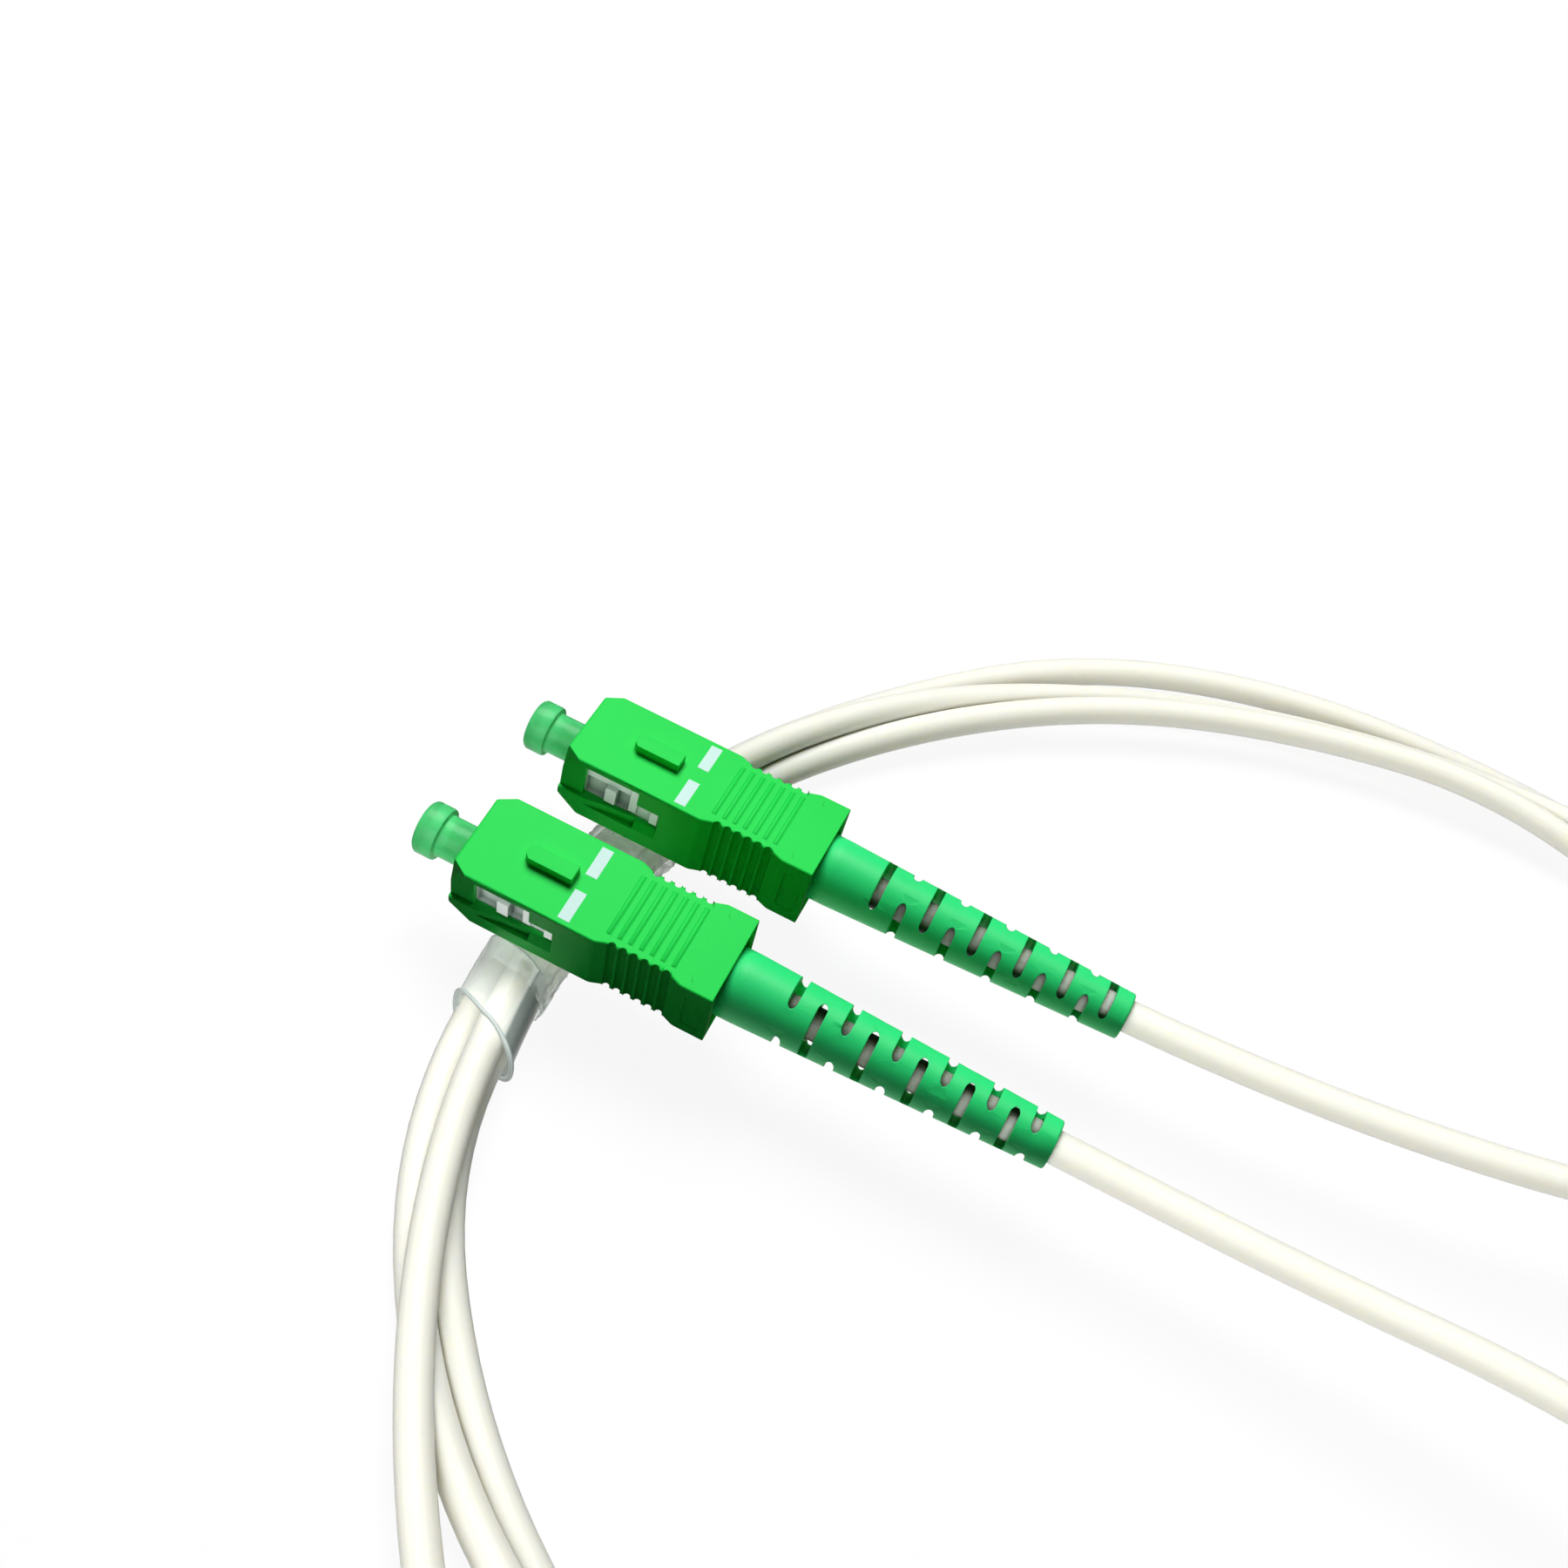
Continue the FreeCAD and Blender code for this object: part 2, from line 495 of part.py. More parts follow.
def make_spring():
    """Open coil spring between the flange and the stop, its ends ground flat."""
    start, end = FLANGE_END + SPRING_SEAT, STOP_FRONT - SPRING_SEAT
    margin = SPRING_WIRE / 4
    length = end - start + 2 * margin
    helix = Part.makeHelix(length / SPRING_TURNS, length, SPRING_RADIUS)
    wire_face = Part.Wire(Part.Circle(V(SPRING_RADIUS, 0, 0), Y_AXIS, SPRING_WIRE / 2).toShape())
    coil = Part.Wire(helix).makePipeShell([wire_face], True, True)
    coil.rotate(V(0, 0, 0), Y_AXIS, 90)
    coil.translate(V(start - margin, 0, 0))
    return coil.common(rod(FRAME_BORE_RADIUS, start, end))


def make_spring_stop():
    front_radius = FRAME_BORE_RADIUS - STOP_CLEARANCE
    pitch = STOP_BARREL_LENGTH / KNURL_RINGS
    outer = [(STOP_FRONT, front_radius), (FRAME_END, front_radius), (FRAME_END, STOP_FLANGE_RADIUS),
             (STOP_FLANGE_END, STOP_FLANGE_RADIUS), (STOP_FLANGE_END, STOP_BARREL_RADIUS)]
    for i in range(KNURL_RINGS - 1):
        x = STOP_FLANGE_END + (i + 1) * pitch
        outer += [(x - KNURL_WIDTH / 2, STOP_BARREL_RADIUS), (x, STOP_BARREL_RADIUS - KNURL_DEPTH),
                  (x + KNURL_WIDTH / 2, STOP_BARREL_RADIUS)]
    mouth_end = STOP_FRONT + STOP_MOUTH_DEPTH
    inner = [(BARREL_END, STOP_BARREL_RADIUS), (BARREL_END, STOP_BORE_RADIUS),
             (mouth_end, STOP_BORE_RADIUS), (mouth_end, STOP_MOUTH_RADIUS),
             (STOP_FRONT, STOP_MOUTH_RADIUS)]
    body = turned(outer + inner)
    catch = block(LATCH_WINDOW_START + LATCH_CLEARANCE,
                  LATCH_WINDOW_START + LATCH_WINDOW_LENGTH - LATCH_CLEARANCE,
                  -LATCH_WINDOW_WIDTH / 2 + LATCH_CLEARANCE, LATCH_WINDOW_WIDTH / 2 - LATCH_CLEARANCE,
                  FRAME_BORE_RADIUS * 0.8, FRAME_HEIGHT / 2)
    return body.fuse(catch).fuse(catch.mirror(V(0, 0, 0), Z_AXIS))


def make_crimp_ring():
    neck = NECK_BORE + CRIMP_WALL
    return turned([(CRIMP_START, CRIMP_BORE), (CRIMP_START, CRIMP_RADIUS),
                   (CRIMP_END - CRIMP_TAPER, CRIMP_RADIUS), (CRIMP_END, neck), (NECK_END, neck),
                   (NECK_END, NECK_BORE), (CRIMP_END, NECK_BORE),
                   (CRIMP_END - CRIMP_TAPER, CRIMP_BORE)])


def make_aramid_yarn():
    return turned([(CRIMP_START, YARN_INNER), (CRIMP_START, YARN_OUTER),
                   (BARREL_END, YARN_OUTER), (BARREL_END, YARN_INNER)])


def make_guide_tube():
    outer = STOP_BORE_RADIUS - GUIDE_TUBE_GAP
    start = STOP_FRONT + STOP_MOUTH_DEPTH
    return turned([(start, GUIDE_TUBE_BORE), (start, outer), (JACKET_START, outer),
                   (JACKET_START, GUIDE_TUBE_BORE)])


def make_buffer_fibre():
    start = FERRULE_END + FERRULE_TRAVEL + BUFFER_RESERVE
    return rod(BUFFER_DIAMETER / 2, start, JACKET_START)


def boot_radius(x):
    share = (x - TAPER_START) / (BOOT_END - TAPER_START)
    return BOOT_COLLAR_RADIUS + (BOOT_TIP_RADIUS - BOOT_COLLAR_RADIUS) * share


def make_boot(boot_roll):
    """Tapered bend relief: slots right through it, each station a quarter turn from the last."""
    cord_bore = CORD_RADIUS + BOOT_CORD_GAP
    crimp_bore = CRIMP_RADIUS + BOOT_CRIMP_GAP
    bore_end = NECK_END + BOOT_CRIMP_GAP
    body = turned([(BOOT_START, crimp_bore), (BOOT_START, BOOT_NOSE_RADIUS),
                   (COLLAR_START, BOOT_NOSE_RADIUS), (COLLAR_START, BOOT_COLLAR_RADIUS),
                   (TAPER_START, BOOT_COLLAR_RADIUS), (BOOT_END - BOOT_TIP_ROUND, BOOT_TIP_RADIUS),
                   (BOOT_END, BOOT_TIP_RADIUS - BOOT_TIP_ROUND), (BOOT_END, cord_bore),
                   (bore_end + BOOT_CONE_LENGTH, cord_bore), (bore_end, crimp_bore)])
    x = SLOT_FIRST
    pitch = SLOT_PITCH
    end_radius = SLOT_WIDTH / 2
    for i in range(SLOT_STATIONS):
        half = SLOT_SHARE * boot_radius(x) - end_radius
        flat = block(x - end_radius, x + end_radius, -half, half, -SLEEVE_HEIGHT, SLEEVE_HEIGHT)
        for y in (-half, half):
            flat = flat.fuse(Part.makeCylinder(end_radius, 2 * SLEEVE_HEIGHT,
                                               V(x, y, -SLEEVE_HEIGHT), Z_AXIS))
        slot = flat.removeSplitter()
        slot.rotate(V(0, 0, 0), X_AXIS, boot_roll + 90 * (i % 2))
        body = body.cut(slot)
        x += pitch
        pitch *= SLOT_PITCH_RATIO
    return body


def make_dust_cap():
    head_end = CAP_FRONT + CAP_HEAD_LENGTH
    bore = FERRULE_DIAMETER / 2 + CAP_BORE_GAP
    return turned([(CAP_FRONT, 0), (CAP_FRONT, CAP_HEAD_RADIUS - CAP_HEAD_ROUND),
                   (CAP_FRONT + CAP_HEAD_ROUND, CAP_HEAD_RADIUS),
                   (head_end - CAP_HEAD_ROUND / 2, CAP_HEAD_RADIUS),
                   (head_end, CAP_HEAD_RADIUS - CAP_HEAD_ROUND / 2), (head_end, CAP_TUBE_RADIUS),
                   (CAP_TUBE_END, CAP_TUBE_RADIUS), (CAP_TUBE_END, bore),
                   (FERRULE_TIP - CAP_TIP_ROOM, bore), (FERRULE_TIP - CAP_TIP_ROOM, 0)])


# ---- the cord, the ring and its tie ------------------------------------------------------------
def strand_hull(grow):
    """Outline round three strands, two below and one above, grown by a thickness: (radius, z) wire."""
    reach = CORD_RADIUS + grow
    out = RING_RADIUS + STRAND_SPREAD / 2
    inn = RING_RADIUS - STRAND_SPREAD / 2
    top = STRAND_FLOOR + STRAND_RISE
    lean = math.atan2(STRAND_RISE, STRAND_SPREAD / 2)

    def rim(radius, z, degrees):
        turn = math.radians(degrees)
        return V(radius + reach * math.cos(turn), 0, z + reach * math.sin(turn))

    tilt = 90 - math.degrees(lean)
    low_out = [rim(out, STRAND_FLOOR, a) for a in (-90, (tilt - 90) / 2, tilt)]
    high = [rim(RING_RADIUS, top, a) for a in (tilt, 90, 180 - tilt)]
    low_in = [rim(inn, STRAND_FLOOR, a) for a in (180 - tilt, 225 - tilt / 2, 270)]
    arcs = [Part.Arc(*points).toShape() for points in (low_out, high, low_in)]
    lines = [Part.makeLine(low_out[2], high[0]), Part.makeLine(high[2], low_in[0]),
             Part.makeLine(low_in[2], low_out[0])]
    return Part.Wire([arcs[0], lines[0], arcs[1], lines[1], arcs[2], lines[2]])


def ring_solid(wire, start, sweep):
    """Turn an outline about the ring's axis, from a start angle through a sweep in degrees."""
    face = Part.Face(wire)
    face.rotate(V(0, 0, 0), Z_AXIS, start)
    solid = face.revolve(V(0, 0, 0), Z_AXIS, sweep)
    solid.translate(V(RING_RADIUS, 0, 0))
    return solid


def make_cord_coil():
    return ring_solid(strand_hull(0), 0, 360)


def make_bundle_wrap():
    sweep = math.degrees(FILM_WIDTH / RING_RADIUS)
    start = FILM_MIDDLE - sweep / 2
    outside = ring_solid(strand_hull(FILM_THICKNESS), start, sweep)
    return outside.cut(ring_solid(strand_hull(0), start - 1, sweep + 2))


def cord_tube(name, route):
    """Round tube along straight runs joined by tangent arcs as large as the runs allow."""
    points = [V(*p) for p in route]
    edges = []
    here = points[0]
    radii = []
    for last, corner, following in zip(points, points[1:], points[2:]):
        back, ahead = last - corner, following - corner
        shorter = min(back.Length, ahead.Length)
        back.normalize()
        ahead.normalize()
        turn = math.pi - back.getAngle(ahead)
        reach = 0.45 * shorter
        radius = reach / math.tan(turn / 2)
        middle = back + ahead
        middle.normalize()
        apex = corner + middle * (radius / math.cos(turn / 2) - radius)
        start, end = corner + back * reach, corner + ahead * reach
        edges.append(Part.makeLine(here, start))
        edges.append(Part.Arc(start, apex, end).toShape())
        radii.append(round(radius, 1))
        here = end
    edges.append(Part.makeLine(here, points[-1]))
    path = Part.Wire(edges)
    first = points[1] - points[0]
    section = Part.Wire(Part.Circle(points[0], first, CORD_RADIUS).toShape())
    tube = path.makePipeShell([section], True, True)
    expected = math.pi * CORD_RADIUS ** 2 * path.Length
    print(name, "length", round(path.Length, 1), "radii", radii,
          "volume share", round(tube.Volume / expected, 4))
    return tube


# ---- assembly ----------------------------------------------------------------------------------
def make_connector(side, nose_x, axis_y, axis_z, roll, boot_roll):
    pieces = {
        "dust_cap": make_dust_cap(),
        "grip_sleeve": make_grip_sleeve(),
        "plug_frame": make_plug_frame(),
        "ferrule": make_ferrule(),
        "ferrule_flange": make_ferrule_flange(),
        "spring": make_spring(),
        "spring_stop": make_spring_stop(),
        "crimp_ring": make_crimp_ring(),
        "aramid_yarn": make_aramid_yarn(),
        "guide_tube": make_guide_tube(),
        "buffer_fibre": make_buffer_fibre(),
        "boot": make_boot(boot_roll - roll),
    }
    placed = {}
    for name, shape in pieces.items():
        shape.rotate(V(0, 0, 0), X_AXIS, roll)
        shape.translate(V(nose_x, axis_y, axis_z))
        placed[name + "_" + side] = shape
    return placed


def main():
    nodes = {}
    nodes.update(make_connector("front", FRONT_NOSE_X, FRONT_AXIS_Y, FRONT_AXIS_Z, FRONT_ROLL,
                                FRONT_BOOT_ROLL))
    nodes.update(make_connector("back", BACK_NOSE_X, BACK_AXIS_Y, BACK_AXIS_Z, BACK_ROLL,
                                BACK_BOOT_ROLL))
    nodes["cord_lead_front"] = cord_tube("cord_lead_front", FRONT_ROUTE)
    nodes["cord_lead_back"] = cord_tube("cord_lead_back", BACK_ROUTE)
    nodes["cord_coil"] = make_cord_coil()
    nodes["bundle_wrap"] = make_bundle_wrap()
    os.makedirs("parts", exist_ok=True)
    for name, shape in nodes.items():
        box = shape.BoundBox
        print(name, "solids", len(shape.Solids), "valid", shape.isValid(),
              "volume", round(shape.Volume, 2),
              "box", [round(v, 2) for v in (box.XMin, box.XMax, box.YMin, box.YMax,
                                            box.ZMin, box.ZMax)])
        shape.exportStep("parts/" + name + ".step")


main()
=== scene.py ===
import bpy
import bmesh
import json
import math
from mathutils import Matrix, Vector, noise

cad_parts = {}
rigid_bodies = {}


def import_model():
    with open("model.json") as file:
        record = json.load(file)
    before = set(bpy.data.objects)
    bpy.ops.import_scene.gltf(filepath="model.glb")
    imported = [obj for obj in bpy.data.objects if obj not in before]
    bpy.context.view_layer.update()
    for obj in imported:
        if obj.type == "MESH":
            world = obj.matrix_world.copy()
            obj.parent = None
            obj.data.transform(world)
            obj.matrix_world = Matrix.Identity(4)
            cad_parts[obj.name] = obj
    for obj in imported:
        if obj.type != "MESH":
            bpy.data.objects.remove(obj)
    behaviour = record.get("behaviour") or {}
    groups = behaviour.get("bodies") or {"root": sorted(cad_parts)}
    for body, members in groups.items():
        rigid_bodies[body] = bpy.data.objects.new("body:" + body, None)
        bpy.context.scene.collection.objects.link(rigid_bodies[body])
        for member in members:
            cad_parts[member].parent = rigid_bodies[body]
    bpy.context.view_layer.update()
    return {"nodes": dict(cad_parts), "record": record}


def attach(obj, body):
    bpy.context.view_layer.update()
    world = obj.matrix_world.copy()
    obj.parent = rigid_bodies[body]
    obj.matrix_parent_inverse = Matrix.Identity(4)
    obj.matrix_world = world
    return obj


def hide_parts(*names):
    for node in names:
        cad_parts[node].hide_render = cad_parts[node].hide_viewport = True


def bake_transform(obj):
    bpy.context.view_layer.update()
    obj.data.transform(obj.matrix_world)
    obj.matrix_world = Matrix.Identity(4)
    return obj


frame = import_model()
scene = bpy.context.scene

# ---- View and light ---------------------------------------------------------------------------
# A white table top under a large soft box that hangs behind the plugs, so that their tops are
# bright and the sides that face the camera are dark. The table is bare and has no edge in view.
CAMERA_PLACE = (0.03337, -0.10161, 0.13931)
BACKDROP_AS_LIGHT = 0.045
BACKDROP_AS_SEEN = 0.96
TABLE_GLOW = 0.91
camera = bpy.data.objects.new("camera", bpy.data.cameras.new("camera"))
camera.data.lens = 44.0
camera.data.sensor_width = 36.0
camera.data.clip_start = 0.01
camera.data.clip_end = 20.0
look = Vector((-0.1258, 0.6834, -0.7191)).normalized()
across = look.cross(Vector((-0.4384, 0.6120, 0.6582))).normalized()
upward = across.cross(look)
camera.matrix_world = Matrix.Translation(CAMERA_PLACE) @ Matrix(
    (across, upward, -look)).transposed().to_4x4()
scene.collection.objects.link(camera)
scene.camera = camera
scene.view_settings.view_transform = "Standard"

world = bpy.data.worlds.new("studio")
world.use_nodes = True
world.node_tree.nodes["Background"].inputs["Color"].default_value = (1.0, 1.0, 1.0, 1.0)
# as pale as the table where it is looked at, and dim as a light
nodes, links = world.node_tree.nodes, world.node_tree.links
seen = nodes.new("ShaderNodeLightPath")
backdrop = nodes.new("ShaderNodeMapRange")
backdrop.inputs["To Min"].default_value = BACKDROP_AS_LIGHT
backdrop.inputs["To Max"].default_value = BACKDROP_AS_SEEN
links.new(seen.outputs["Is Camera Ray"], backdrop.inputs["Value"])
links.new(backdrop.outputs["Result"], nodes["Background"].inputs["Strength"])
scene.world = world


def soft_box(name, place, aim, width, power):
    lamp = bpy.data.lights.new(name, "AREA")
    lamp.shape = "DISK"
    lamp.size = width
    lamp.energy = power
    stand = bpy.data.objects.new(name, lamp)
    stand.location = place
    stand.rotation_euler = (Vector(aim) - Vector(place)).to_track_quat("-Z", "Y").to_euler()
    scene.collection.objects.link(stand)
    return stand


table = bpy.data.meshes.new("table_top")
table.from_pydata([(-4, -4, 0), (4, -4, 0), (4, 4, 0), (-4, 4, 0)], [], [(0, 1, 2, 3)])
table_top = bpy.data.objects.new("table_top", table)
scene.collection.objects.link(table_top)
table_white = bpy.data.materials.new("table_white")
table_white.use_nodes = True
nodes, links = table_white.node_tree.nodes, table_white.node_tree.links
shader = nodes["Principled BSDF"]
shader.inputs["Base Color"].default_value = (0.09, 0.09, 0.09, 1.0)
shader.inputs["Roughness"].default_value = 0.9
shader.inputs["Specular IOR Level"].default_value = 0.0
shader.inputs["Emission Color"].default_value = (1.0, 1.0, 1.0, 1.0)
seen = nodes.new("ShaderNodeLightPath")
either = nodes.new("ShaderNodeMath")
either.operation = "MAXIMUM"
glow = nodes.new("ShaderNodeMath")
glow.operation = "MULTIPLY"
glow.inputs[1].default_value = TABLE_GLOW
links.new(seen.outputs["Is Camera Ray"], either.inputs[0])
links.new(seen.outputs["Is Transmission Ray"], either.inputs[1])
links.new(either.outputs[0], glow.inputs[0])
links.new(glow.outputs[0], shader.inputs["Emission Strength"])
table.materials.append(table_white)

soft_box("overhead_box", (-0.26, 0.40, 1.0), (0.05, 0.0, 0.0), width=0.7, power=14.2)
# a weak fill from the front that only the pale pieces take, as the white table would give them
pale_pieces = bpy.data.collections.new("pale_pieces")
front_fill = soft_box("front_fill", (0.05, -0.85, 0.40), (0.03, 0.0, 0.0), width=0.9, power=8.0)
front_fill.light_linking.receiver_collection = pale_pieces
# one from below, which the table top doesn't stop but every piece of the object does
all_pieces = bpy.data.collections.new("all_pieces")
bounced_pieces = bpy.data.collections.new("bounced_pieces")
bounced_pieces.children.link(pale_pieces)
table_bounce = soft_box(
    "table_bounce", (0.07, -0.05, -0.30), (0.07, 0.0, 0.0), width=0.7, power=1.0)
table_bounce.light_linking.receiver_collection = bounced_pieces
table_bounce.light_linking.blocker_collection = all_pieces
# and one for the clear film, which passes on the light that it takes in beside the plugs
film_pieces = bpy.data.collections.new("film_pieces")
film_blockers = bpy.data.collections.new("film_blockers")
film_blockers.objects.link(table_top)
film_light = soft_box("film_light", (-0.10, -0.10, 0.50), (0.0, 0.0, 0.0), width=0.4, power=1.3)
film_light.light_linking.receiver_collection = film_pieces
film_light.light_linking.blocker_collection = film_blockers

# ---- Cord -------------------------------------------------------------------------------------
# One length of round 3 mm cord with an extruded ivory jacket, satin and faintly mottled. It leaves
# the front boot, drops onto the ring, lies round it in loose turns that cross and fan out, and
# comes back over the ring's middle to the back boot.
JACKET = 0.003
RING_CENTRE = Vector((0.077, 0.0, 0.0))
STEP = 18
PULL_IN = 0.9877
RING_TOP = 0.0071
LEADS_FROM = 0.0080
# it starts 1 mm further along than the CAD's lead, because a cord's first point may be at most
# 30 mm from where the cord leaves the object
front_lead = [
    (16.6, -2.36, 10.2), (33.5, -2.36, 10.2), (51.5, -2.45, 10.1), (70.5, -2.85, 10.7),
    (89.0, -3.5, 12.8), (106.3, -6.8, 14.0), (121.2, -15.3, 13.2), (130.0, -29.8, 11.4),
    (130.8, -46.9, 9.4), (121.5, -63.1, 7.3), (105.6, -71.6, 4.5)]
back_lead = [
    (17.29, 14.46, 9.71), (35.0, 14.46, 9.71), (53.0, 14.58, 9.75), (71.5, 16.0, 10.2),
    (90.0, 18.8, 11.3), (107.2, 24.6, 11.6), (119.8, 34.2, 10.9), (124.9, 46.8, 9.8),
    (122.3, 59.5, 8.4), (113.9, 69.4, 6.8), (102.0, 73.6, 4.4)]
# radius and height of each turn, every 18 degrees from 90 degrees on
middle_turn = [
    (75.5, 2.7), (74.9, 1.5), (75.3, 1.6), (76.0, 3.6), (77.4, 4.2), (77.6, 3.8), (78.2, 4.8),
    (79.3, 4.6), (81.3, 2.4), (80.5, 1.5), (78.9, 1.5), (78.6, 1.5), (78.5, 1.5), (78.5, 1.5),
    (78.5, 1.5), (78.4, 1.5), (78.2, 1.5), (78.2, 1.5), (78.3, 1.5), (78.1, 1.5)]
outer_turn = [
    (78.0, 1.5), (79.8, 1.5), (80.2, 1.5), (77.9, 1.6), (78.8, 1.7), (80.1, 1.7), (80.9, 1.5),
    (77.6, 2.5), (71.7, 3.0), (72.8, 1.6), (74.2, 1.5), (75.1, 1.5), (75.0, 1.5), (75.2, 1.5),
    (75.2, 1.5), (75.1, 1.5), (74.5, 1.5), (73.7, 1.5), (73.0, 2.3), (72.3, 1.8)]
inner_turn = [
    (73.0, 4.6), (72.2, 3.5), (71.8, 3.8), (73.3, 2.4), (75.6, 1.7), (76.2, 1.7), (78.5, 1.5),
    (74.6, 1.5), (69.8, 1.5), (68.1, 1.5), (69.7, 4.2)]

route = [Vector(p) / 1000 for p in back_lead]
for i, (radius, height) in enumerate(middle_turn + outer_turn + inner_turn):
    turn = math.radians(90 + STEP * i)
    reach = radius / 1000 / PULL_IN
    route.append(RING_CENTRE + Vector(
        (reach * math.cos(turn), reach * math.sin(turn), height / 1000)))
route += [Vector(p) / 1000 for p in reversed(front_lead)]
route.reverse()

curve = bpy.data.curves.new("cord_jacket", "CURVE")
curve.dimensions = "3D"
curve.resolution_u = 10
curve.bevel_depth = JACKET / 2
curve.bevel_resolution = 6
curve.use_fill_caps = True
spline = curve.splines.new("NURBS")
spline.points.add(len(route) - 1)
for point, place in zip(spline.points, route):
    point.co = (*place, 1.0)
spline.order_u = 3
spline.use_endpoint_u = True
cord_jacket = bpy.data.objects.new("cord_jacket", curve)
scene.collection.objects.link(cord_jacket)
pale_pieces.objects.link(cord_jacket)


def finish(name, colour, roughness):
    """A new material in one colour to build on: (material, nodes, links, shader)."""
    material = bpy.data.materials.new(name)
    material.use_nodes = True
    nodes, links = material.node_tree.nodes, material.node_tree.links
    shader = nodes["Principled BSDF"]
    shader.inputs["Base Color"].default_value = (*colour, 1.0)
    shader.inputs["Roughness"].default_value = roughness
    return material, nodes, links, shader


def effect(name, inputs, outputs):
    """An empty shader node group: (tree, its input node, its output node)."""
    tree = bpy.data.node_groups.new(name, "ShaderNodeTree")
    for label, kind, value in inputs:
        tree.interface.new_socket(label, in_out="INPUT", socket_type=kind).default_value = value
    for label, kind in outputs:
        tree.interface.new_socket(label, in_out="OUTPUT", socket_type=kind)
    return tree, tree.nodes.new("NodeGroupInput"), tree.nodes.new("NodeGroupOutput")


# Mottle: slow drifts of tone over fine grain, as extruded and moulded plastics have.
mottle, given, made = effect(
    "mottle",
    [("Colour", "NodeSocketColor", (1, 1, 1, 1)), ("Deep Colour", "NodeSocketColor", (0, 0, 0, 1)),
     ("Drift Scale", "NodeSocketFloat", 150.0), ("Drift", "NodeSocketFloat", 0.2),
     ("Grain Scale", "NodeSocketFloat", 4000.0), ("Roughness", "NodeSocketFloat", 0.4),
     ("Roughness Spread", "NodeSocketFloat", 0.1)],
    [("Colour", "NodeSocketColor"), ("Roughness", "NodeSocketFloat"),
     ("Height", "NodeSocketFloat")])
place = mottle.nodes.new("ShaderNodeTexCoord")
drift = mottle.nodes.new("ShaderNodeTexNoise")
drift.inputs["Detail"].default_value = 3.0
grain = mottle.nodes.new("ShaderNodeTexNoise")
grain.inputs["Detail"].default_value = 4.0
grain.inputs["Roughness"].default_value = 0.65
share = mottle.nodes.new("ShaderNodeMath")
share.operation = "MULTIPLY"
blend = mottle.nodes.new("ShaderNodeMix")
blend.data_type = "RGBA"
spread = mottle.nodes.new("ShaderNodeMath")
spread.operation = "MULTIPLY_ADD"
lift = mottle.nodes.new("ShaderNodeMath")
lift.operation = "SUBTRACT"
lift.inputs[1].default_value = 0.5
mottle.links.new(place.outputs["Object"], drift.inputs["Vector"])
mottle.links.new(place.outputs["Object"], grain.inputs["Vector"])
mottle.links.new(given.outputs["Drift Scale"], drift.inputs["Scale"])
mottle.links.new(given.outputs["Grain Scale"], grain.inputs["Scale"])
mottle.links.new(drift.outputs["Fac"], share.inputs[0])
mottle.links.new(given.outputs["Drift"], share.inputs[1])
mottle.links.new(share.outputs[0], blend.inputs["Factor"])
mottle.links.new(given.outputs["Colour"], blend.inputs["A"])
mottle.links.new(given.outputs["Deep Colour"], blend.inputs["B"])
mottle.links.new(grain.outputs["Fac"], lift.inputs[0])
mottle.links.new(lift.outputs[0], spread.inputs[0])
mottle.links.new(given.outputs["Roughness Spread"], spread.inputs[1])
mottle.links.new(given.outputs["Roughness"], spread.inputs[2])
mottle.links.new(blend.outputs["Result"], made.inputs["Colour"])
mottle.links.new(spread.outputs[0], made.inputs["Roughness"])
mottle.links.new(grain.outputs["Fac"], made.inputs["Height"])


def add_mottle(nodes, links, shader, relief, **values):
    """Feed a material's colour, roughness and relief from the mottle group; gives its bump node."""
    group = nodes.new("ShaderNodeGroup")
    group.node_tree = mottle
    for label, value in values.items():
        group.inputs[label.replace("_", " ")].default_value = value
    bump = nodes.new("ShaderNodeBump")
    bump.inputs["Strength"].default_value = 1.0
    bump.inputs["Distance"].default_value = relief
    links.new(group.outputs["Colour"], shader.inputs["Base Color"])
    links.new(group.outputs["Roughness"], shader.inputs["Roughness"])
    links.new(group.outputs["Height"], bump.inputs["Height"])
    links.new(bump.outputs["Normal"], shader.inputs["Normal"])
    return bump


def add_painted_shade(nodes, links, shader, mask, tone, low, high):
    """Paint shade into a material's colour: multiply it by a tone where a mask is low."""
    ramp = nodes.new("ShaderNodeValToRGB")
    ramp.color_ramp.elements[0].color = (*tone, 1.0)
    ramp.color_ramp.elements[0].position = low
    ramp.color_ramp.elements[1].color = (1.0, 1.0, 1.0, 1.0)
    ramp.color_ramp.elements[1].position = high
    tint = nodes.new("ShaderNodeMix")
    tint.data_type = "RGBA"
    tint.blend_type = "MULTIPLY"
    tint.inputs["Factor"].default_value = 1.0
    links.new(mask, ramp.inputs["Fac"])
    links.new(shader.inputs["Base Color"].links[0].from_socket, tint.inputs["A"])
    links.new(ramp.outputs["Color"], tint.inputs["B"])
    links.new(tint.outputs["Result"], shader.inputs["Base Color"])


def add_painted_nook_shade(nodes, links, shader, reach, tone, low, high):
    """Paint shade into a material's colour in its own grooves and where it lies against itself."""
    nook = nodes.new("ShaderNodeAmbientOcclusion")
    nook.samples = 6
    nook.only_local = True
    nook.inputs["Distance"].default_value = reach
    add_painted_shade(nodes, links, shader, nook.outputs["AO"], tone, low, high)


